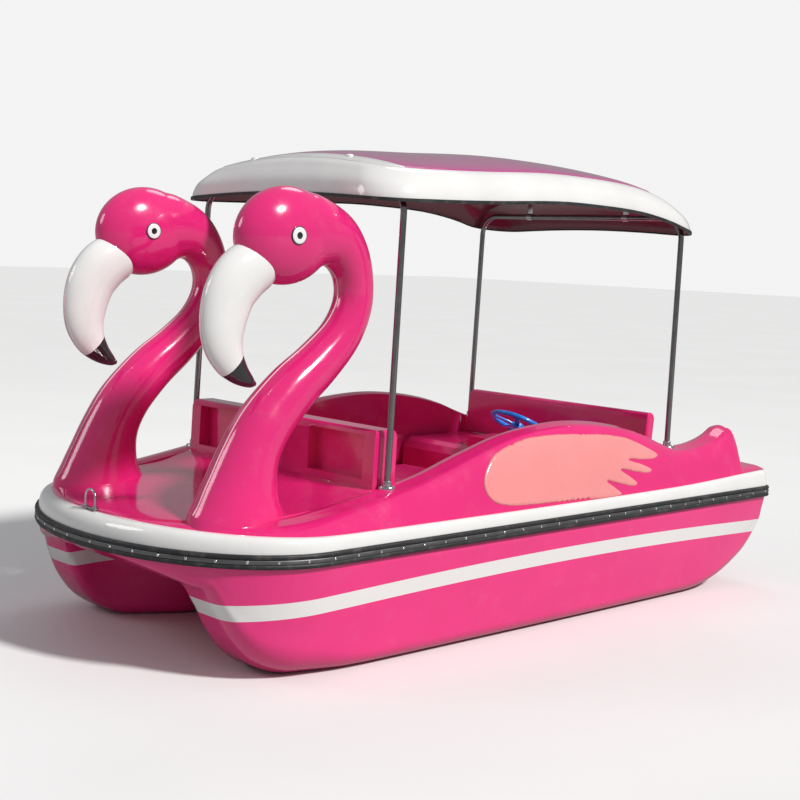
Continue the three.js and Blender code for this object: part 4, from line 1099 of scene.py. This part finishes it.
def build_frame(name, post):
    foot = [(side * POST_X, post["y"], post["foot"] + 7) for side in (-1, 1)]
    head = [(side * (POST_X - 4), post["y"] + POST_RAKE, post["top"]) for side in (-1, 1)]
    path = bent([foot[0], head[0], head[1], foot[1]], FRAME_BEND, 16)
    tube = skin(sweep(path, POST_RADIUS, 28))
    # The frame tubes take the darkened metal, whose colour is a painted dark reflection.
    piece(name + "_tube", *tube, [frame_metal_painted_reflection], hides=[name + "_frame"], slot="stainless")
    for side, hand in SIDES:
        at = Vector((side * POST_X, post["y"], post["foot"]))
        plate = [(33, -22), (33, 2.5), (31, 5.5), (20, 6.2), (18, 8), (17.4, 24), (16.4, 26), (12.9, 26)]
        parts = [turned(at, (0, 0, 1), plate + [(12.9, 7), (0.01, 7)], 40)]
        parts += bolt_circle(at + Vector((0, 0, 5.2)), (0, 0, 1), 25.5, 3, 30, (4.6, 3.6))
        node = name + "_post_foot_" + hand
        piece(name + "_foot_" + hand, *merged(parts), [stainless], hides=[node], slot="stainless")
        x, y, z = side * CLIP_X, post["y"] + POST_RAKE, post["top"]
        lining = roof_top(x, y) - 7
        rings = []
        for offset in spread(-16, 16, 5):
            circle = [(16.4 * math.cos(a), 16.4 * math.sin(a)) for a in spread(0, 2 * math.pi, 25)[:-1]]
            rings.append([Vector((x + offset, y + along, z + up)) for along, up in circle])
        parts = [
            skin(rings),
            rounded_box((x - 16, y - 3, z + 15), (x + 16, y + 3, lining + 2), 1.2, 2),
            rounded_box((x - 16, y - 23, lining - 5), (x + 16, y + 23, lining + 1), 1.5, 2),
        ]
        parts += [hexagon((x, y + dy, lining - 5), (0, 0, -1), 5, 4) for dy in (-14, 14)]
        node = name + "_roof_clip_" + hand
        piece(name + "_clip_" + hand, *merged(parts), [stainless], hides=[node], slot="stainless")


for side, name in SIDES:
    build_bird(side, name)
build_roof()
build_frame("front", FRONT_POST)
build_frame("rear", REAR_POST)


# ---------------------------------------------------------------- steering
def helm_rim(middle):
    """The wheel's rim: round sections whose inner side swells into finger grips."""
    rows = []
    for k in range(96):
        angle = 2 * math.pi * k / 96
        grip = HELM_THICK + 1.1 * math.cos(angle * 30)
        out = Vector((math.cos(angle), math.sin(angle), 0))
        ring = []
        for j in range(20):
            around = 2 * math.pi * j / 20
            thick = grip if math.cos(around) < 0.2 else HELM_THICK
            ring.append(out * (middle + thick * math.cos(around)) + Vector((0, 0, thick * math.sin(around))))
        rows.append(ring)
    return skin(rows, joined=True)


def build_helm():
    middle = HELM_RADIUS - HELM_THICK
    parts = [helm_rim(middle)]
    for k in range(5):
        spoke = rounded_box((-12, 20, -15), (12, middle - 2, -7), 2.6)
        rib = rounded_box((-3, 22, -9), (3, middle - 6, -3.5), 1.2)
        swing = Matrix.Rotation(2 * math.pi * k / 5, 4, "Z")
        parts += [moved(spoke, swing), moved(rib, swing)]
    hub = [(10.6, -26), (27, -26), (30, -23), (30, -4), (27, 0), (21, 1.5), (20, 3.2), (12, 5.4), (0.01, 6.2)]
    parts.append(turned((0, 0, 0), UP, hub, 48))
    place = Matrix.Translation(HELM_CENTRE) @ Matrix.Rotation(-HELM_TILT, 4, "X")
    wheel = moved(merged(parts), place)
    piece("wheel_rim_and_hub", *wheel, [blue], body="helm", hides=["steering_wheel"], slot="blue_plastic")
    down = -Vector((0, math.sin(HELM_TILT), math.cos(HELM_TILT)))
    rod = turned(HELM_CENTRE, down, [(10, 8), (10, 334), (9, 338), (0.01, 338)])
    piece("column_round", *rod, [stainless], body="helm", hides=["steering_column"], slot="stainless")
    flange = [(36, 0.5), (36, 4.5), (33, 7), (24, 8), (19, 13), (13.5, 13.5)]
    parts = [turned((0, COLUMN_FOOT_Y, SEAT_DECK), UP, flange, 40)]
    for angle in (math.radians(45 + 90 * k) for k in range(4)):
        spot = (29 * math.cos(angle), COLUMN_FOOT_Y + 29 * math.sin(angle), SEAT_DECK + 6)
        parts.append(turned(spot, UP, dome(3.6, 2.4), 16))
    piece("column_collar", *merged(parts), [dark_plastic], hides=["column_bush"])


# ---------------------------------------------------------------- pedals, cranks and paddle wheel
def build_cranks():
    inner, middle, outer = THROW_X
    up, down = DRIVE_Z + CRANK_THROW, DRIVE_Z - CRANK_THROW
    line = [(320, DRIVE_Z), (inner, DRIVE_Z), (inner, up), (middle, up), (middle, down), (outer, down)]
    line += [(outer, DRIVE_Z), (560, DRIVE_Z)]
    for side, hand in SIDES:
        rod = skin(sweep(bent([(side * x, 0, z) for x, z in line], 12, 6), CRANK_RADIUS, 20))
        piece("crank_rod_" + hand, *rod, [stainless], body="drive", hides=["crank_" + hand], slot="stainless")
        for place, x, z in (("inner", PEDAL_X[0], up), ("outer", PEDAL_X[1], down)):
            build_pedal(place + "_pedal_" + hand, side * x, z)


def build_pedal(body, x, z):
    """A pedal block with ribbed treads on both faces and a collar at each end."""
    parts = [rounded_box((x - 34, -42, z - 10), (x + 34, 42, z + 10), 4)]
    for face in (z + 11, z - 11):
        for y in range(-33, 34, 11):
            parts.append(rounded_box((x - 30, y - 2.4, face - 2), (x + 30, y + 2.4, face + 2), 1.1, 2))
    collar = [(13, 0), (13, 1.4), (12, 2.4), (9.6, 2.4)]
    parts += [turned((x + end * 33.5, 0, z), (end, 0, 0), collar, 28) for end in (1, -1)]
    piece("tread_" + body, *merged(parts), [dark_plastic], body=body, hides=[body], slot="dark_plastic")


def paddle_blade():
    """A blade with four ribs, a thick outer edge, in the plane of the first arm."""
    parts = [rounded_box((-168, 80, 3.4), (168, 219, 7.4), 1.8)]
    parts += [rounded_box((x - 3, 86, 6.4), (x + 3, 214, 10), 1.2, 2) for x in (-150, -50, 50, 150)]
    return merged(parts + [rounded_box((-166, 210, 3.4), (166, 219.5, 10), 1.6, 2)])


def build_paddles():
    hub = [(14.5, 0), (30, 0), (34, 4), (34, 236), (30, 240), (14.5, 240)]
    parts = [turned((-120, 0, DRIVE_Z), (1, 0, 0), hub, 48)]
    bolts = []
    for k in range(6):
        swing = Matrix.Translation((0, 0, DRIVE_Z)) @ Matrix.Rotation(math.pi / 3 * k, 4, "X")
        if k < 3:
            parts.append(moved(rounded_box((-70, -125, -2.8), (70, 125, 2.8), 1.4, 2), swing))
        blade, node = moved(paddle_blade(), swing), f"paddle_blade_{k + 1}"
        piece(f"blade_{k + 1}", *blade, [grey_plastic], body="drive", hides=[node], slot="grey_plastic")
        bolts += [moved(hexagon((x, y, 7), UP, 6, 4), swing) for x in (-47, 8, 63) for y in (92, 114)]
    hub = merged(parts)
    piece("hub_and_arms", *hub, [dark_plastic], body="drive", hides=["paddle_hub"], slot="dark_plastic")
    piece("blade_bolts", *merged(bolts), [stainless], body="drive")
    axle = turned((-318, 0, DRIVE_Z), (1, 0, 0), [(12.5, 0), (14, 1.5), (14, 634.5), (12.5, 636)], 40)
    piece("axle_round", *axle, [stainless], body="drive", hides=["paddle_axle"], slot="stainless")


def build_bearings():
    bush = [(14.6, 222), (31, 222), (32, 223), (32, 274), (52, 274), (52, 281), (49, 284), (33, 284)]
    bush += [(32, 286), (32, 310), (30, 312), (14.6, 312)]
    nut = (4.6, 3.4)
    for side, hand in SIDES:
        parts = [turned((0, 0, DRIVE_Z), (side, 0, 0), bush, 48)]
        parts += bolt_circle((side * 283.5, 0, DRIVE_Z), (side, 0, 0), 43, 6, 0, nut)
        node = "inner_bearing_" + hand
        piece("bush_inner_" + hand, *merged(parts), [grey_plastic], hides=[node], slot="grey_plastic")
        near, far = sorted((side * 541, side * 565))
        inward = (-side, 0, 0)
        parts = [rounded_box((near, -34, DRIVE_Z - 30), (far, 34, DRIVE_Z + 30), 4)]
        parts.append(turned((side * 541, 0, DRIVE_Z), inward, [(20, -2), (20, 2.5), (18, 4), (9.8, 4)], 36))
        corners = [(y, DRIVE_Z + z) for y in (-25, 25) for z in (-21, 21)]
        parts += [hexagon((side * 541.5, y, z), inward, *nut) for y, z in corners]
        node = "outer_bearing_" + hand
        piece("block_outer_" + hand, *merged(parts), [grey_plastic], hides=[node], slot="grey_plastic")


# ---------------------------------------------------------------- fittings on hull and deck
def build_bow_eye():
    y, half, top = EYE_BOLT_Y, EYE_BOLT_HALF, EYE_BOLT_TOP
    deck = middle_deck(y)
    path = [(-half, y, 508), (-half, y, top), (half, y, top), (half, y, 508)]
    parts = [skin(sweep(bent(path, 31, 12), 4.5, 20))]
    parts.append(rounded_box((-half - 17, y - 13, deck + 1), (half + 17, y + 13, deck + 4.5), 1.4, 2))
    parts += [hexagon((x, y, deck + 4), UP, 9.5, 6.5) for x in (-half, half)]
    piece("u_bolt", *merged(parts), [stainless], hides=["bow_eye"], slot="stainless")


def build_drain_plugs():
    cap = [(12, -28), (12, 0.3), (22, 0.3), (22, 4), (20, 6.5), (12, 7.5), (11, 9.5), (0.01, 9.8)]
    for side, hand in SIDES:
        x = side * 470
        parts = [turned((x, 1645, 385), (0, 1, 0), cap, 36)]
        parts.append(rounded_box((x - 9, 1652, 382), (x + 9, 1655, 388), 1, 2))
        node = "drain_plug_" + hand
        piece("plug_" + hand, *merged(parts), [dark_plastic], hides=[node], slot="dark_plastic")


# ---------------------------------------------------------------- rudder and its linkage
RUDDER_Y = 1390
TILLER_LENGTH = 80
CABLE_Z = 420
TILLER_Z = CABLE_Z - 26
TILLER_DEPTH = 14


def build_rudder_blade():
    """A fair-sectioned blade, rounded at its top and cut away at its lower front corner."""
    low, high, front, rear, half = 70, 322, 1335, 1560, 9
    rows = []
    for t in spread(0, 1, 22):
        cut = 46 * max(0, 1 - t / 0.16) ** 2 + 8 * max(0, 1 - t) ** 2
        soft = math.sqrt(1 - (1 - min(1, t / 0.06, (1 - t) / 0.03 + 0.25)) ** 2)
        ring = []
        for sign in (1, -1):
            runs = spread(0, 1, 22) if sign > 0 else spread(1, 0, 22)[1:-1]
            for run in runs:
                thick = half * 1.9 * (1.48 * math.sqrt(run) - 0.75 * run - 0.62 * run**2 - 0.06 * run**3)
                thick = max(thick, 0.9) * soft
                y = front + run * (rear - front) + cut * (1 - run)
                ring.append(Vector((sign * thick, y, lerp(low, high, t))))
        rows.append(ring)
    verts, faces = skin(rows)
    hidden = ["rudder_blade"]
    piece("blade_fair", verts, faces, [white], body="rudder", angle=60, hides=hidden, slot="white_gelcoat")


def build_tiller():
    at = (0, RUDDER_Y, TILLER_Z)
    top = TILLER_Z + TILLER_DEPTH
    boss = [(12.8, 0), (22, 0), (24, 2), (24, 12), (22, TILLER_DEPTH), (12.8, TILLER_DEPTH)]
    parts = [turned(at, UP, boss, 40)]
    near, far = (15, RUDDER_Y - 10, TILLER_Z + 1), (TILLER_LENGTH + 12, RUDDER_Y + 10, top)
    parts.append(rounded_box(near, far, 2.6))
    pin = [(5, 0), (5, 21), (4, 22.5), (0.01, 22.5)]
    parts.append(turned((TILLER_LENGTH, RUDDER_Y, top - 1), UP, pin, 24))
    parts.append(hexagon((24, RUDDER_Y, TILLER_Z + 7), (1, 0, 0), 5, 3))
    piece("tiller_arm", *merged(parts), [stainless], body="rudder", hides=["tiller"], slot="stainless")
    stock = turned((0, RUDDER_Y, 106), UP, [(11.5, 0), (12.5, 1), (12.5, 303), (11.5, 304)], 36)
    piece("stock_round", *stock, [stainless], body="rudder", hides=["rudder_stock"], slot="stainless")
    tube = [(12.9, 326), (16.2, 326), (16.2, 346.6), (36, 346.6), (36, 350), (33, 353)]
    tube += [(17.5, 353), (16.2, 356), (16.2, 392), (12.9, 392)]
    parts = [turned((0, RUDDER_Y, 0), UP, tube, 40)]
    parts += bolt_circle((0, RUDDER_Y, 352), UP, 27, 4, 45, (4.6, 3.4))
    piece("stock_bush", *merged(parts), [grey_plastic], hides=["rudder_tube"], slot="grey_plastic")


def build_cable():
    x = TILLER_LENGTH
    barrel_y = 1060
    path = [(40, 645.5, CABLE_Z), (40, 700, CABLE_Z), (x, 860, CABLE_Z), (x, barrel_y + 1, CABLE_Z)]
    sheath = skin(sweep(bent(path, 60, 10), 8, 20))
    barrel = [(4.6, 0), (9.5, 0), (11, 2), (11, 26), (9, 28)]
    barrel += [(9, 126), (11, 128), (11, 153), (9.5, 155), (4.6, 155)]
    parts = [sheath, turned((x, barrel_y, CABLE_Z), (0, 1, 0), barrel, 28, hollow=True)]
    piece("cable_sheath", *merged(parts), [rubber], hides=["steering_cable"], slot="black_rubber")
    parts = [turned((x, 1125, CABLE_Z), (0, 1, 0), [(3, 0), (4, 1), (4, 252), (3, 253)], 20)]
    left, right, front, rear = x - 32, x + 16, RUDDER_Y - 15, RUDDER_Y + 15
    thick = 7.6
    bars = [
        (left, front, right, front + thick),
        (left, rear - thick, right, rear),
        (left, front, left + thick, rear),
        (right - thick, front, right, rear),
    ]
    parts += [rounded_box((a, b, CABLE_Z - 3), (c, d, CABLE_Z + 3), 1.2, 2) for a, b, c, d in bars]
    piece("yoke_loop", *merged(parts), [stainless], body="yoke", hides=["steering_yoke"], slot="stainless")


def build_gearbox():
    parts = [rounded_box((-60, 540, 375.5), (60, 645, 474), 9)]
    parts.append(rounded_box((-52, 548, 472), (52, 637, 477), 2, 2))
    parts += [hexagon((x, y, 476), UP, 5.5, 4) for x in (-42, 42) for y in (556, 629)]
    piece("gearbox_case", *merged(parts), [dark_plastic], hides=["helm_gearbox"])


build_helm()
build_cranks()
build_paddles()
build_bearings()
build_bow_eye()
build_drain_plugs()
build_rudder_blade()
build_tiller()
build_cable()
build_gearbox()


# ---------------------------------------------------------------- cockpit mouldings
COCKPIT = {  # CAD nodes that show, with the rounding of their edges
    "cockpit_tub": 7,
    "wheel_housing": 9,
    "front_seat": 7,
    "rear_seat": 7,
    "front_backrest": 6,
    "rear_backrest": 6,
}


def painted(node, paint):
    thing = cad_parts[node]
    thing.data.materials.clear()
    thing.data.materials.append(paint)
    thing.data.polygons.foreach_set("material_index", [0] * len(thing.data.polygons))
    thing.data.polygons.foreach_set("use_smooth", [True] * len(thing.data.polygons))
    thing.data.set_sharp_from_angle(angle=math.radians(35))
    return thing


def softened(thing, width):
    bevel = thing.modifiers.new("soft_edges", "BEVEL")
    bevel.width = width * MM
    bevel.segments = 3
    bevel.limit_method = "ANGLE"
    bevel.angle_limit = math.radians(32)
    bevel.miter_outer = "MITER_ARC"
    bevel.harden_normals = True


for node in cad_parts:
    painted(node, pink if node in COCKPIT else stainless)
for node, width in COCKPIT.items():
    softened(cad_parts[node], width)


# ---------------------------------------------------------------- stage, light and camera
def lamp(name, kind, place, aim, watts, colour=(1, 1, 1)):
    data = bpy.data.lights.new(name, kind)
    data.energy = watts
    data.color = colour
    thing = bpy.data.objects.new(name, data)
    thing.location = place
    thing.rotation_mode = "QUATERNION"
    thing.rotation_quaternion = (Vector(aim) - Vector(place)).to_track_quat("-Z", "Y")
    scene.collection.objects.link(thing)
    return data


def build_lights():
    lamp("key", "SUN", (6.2, 1.6, 6.0), (0, 0, 0), 3.3, (1, 0.985, 0.96)).angle = math.radians(7)
    for name, place, aim, size in (
        ("fill", (-3.6, -6, 4.2), (0, -0.6, 0.8), 2.4),
        ("back", (-2.5, 4, 8), (0, 0, 0.8), 3),
    ):
        disc = lamp(name, "AREA", place, aim, 60)
        disc.shape = "DISK"
        disc.size = size


def build_floor():
    mesh = bpy.data.meshes.new("floor")
    reach = 60
    corners = [(-reach, -reach, 0), (reach, -reach, 0), (reach, reach, 0), (-reach, reach, 0)]
    mesh.from_pydata(corners, [], [(0, 1, 2, 3)])
    paint = Paint("studio_floor")
    tone = paint.span(paint.noise(0.7, 4), 0.3, 0.7)
    pale = paint.mix(tone, (0.84, 0.84, 0.84), (0.87, 0.87, 0.87))
    direct = paint.nodes.new("ShaderNodeLightPath").outputs["Is Camera Ray"]
    paint.set(Base_Color=paint.mix(direct, (0.4, 0.39, 0.39), pale), Roughness=0.7)
    mesh.materials.append(paint.material)
    floor = bpy.data.objects.new("floor", mesh)
    floor.location.z = -0.002
    scene.collection.objects.link(floor)


def build_world():
    """Soft light from all round, with a paler backdrop where the camera sees it directly."""
    world = bpy.data.worlds.new("studio")
    scene.world = world
    world.use_nodes = True
    nodes, links = world.node_tree.nodes, world.node_tree.links
    soft = nodes["Background"]
    soft.inputs["Color"].default_value = (0.93, 0.96, 1, 1)
    soft.inputs["Strength"].default_value = 0.3
    backdrop = nodes.new("ShaderNodeBackground")
    backdrop.inputs["Color"].default_value = (0.9, 0.9, 0.9, 1)
    seen = nodes.new("ShaderNodeLightPath")
    either = nodes.new("ShaderNodeMixShader")
    links.new(seen.outputs["Is Camera Ray"], either.inputs[0])
    links.new(soft.outputs["Background"], either.inputs[1])
    links.new(backdrop.outputs["Background"], either.inputs[2])
    links.new(either.outputs["Shader"], nodes["World Output"].inputs["Surface"])


def build_camera():
    data = bpy.data.cameras.new("view")
    data.sensor_width = 36
    data.lens = 63.93
    data.shift_x = 0.005
    data.shift_y = -0.0772
    camera = bpy.data.objects.new("view", data)
    camera.location = (4.476, -4.291, 1.515)
    camera.rotation_euler = [math.radians(a) for a in (86.485, -2.271, 47.043)]
    scene.collection.objects.link(camera)
    scene.camera = camera


build_floor()
build_world()
build_lights()
build_camera()
scene.view_settings.view_transform = "Standard"
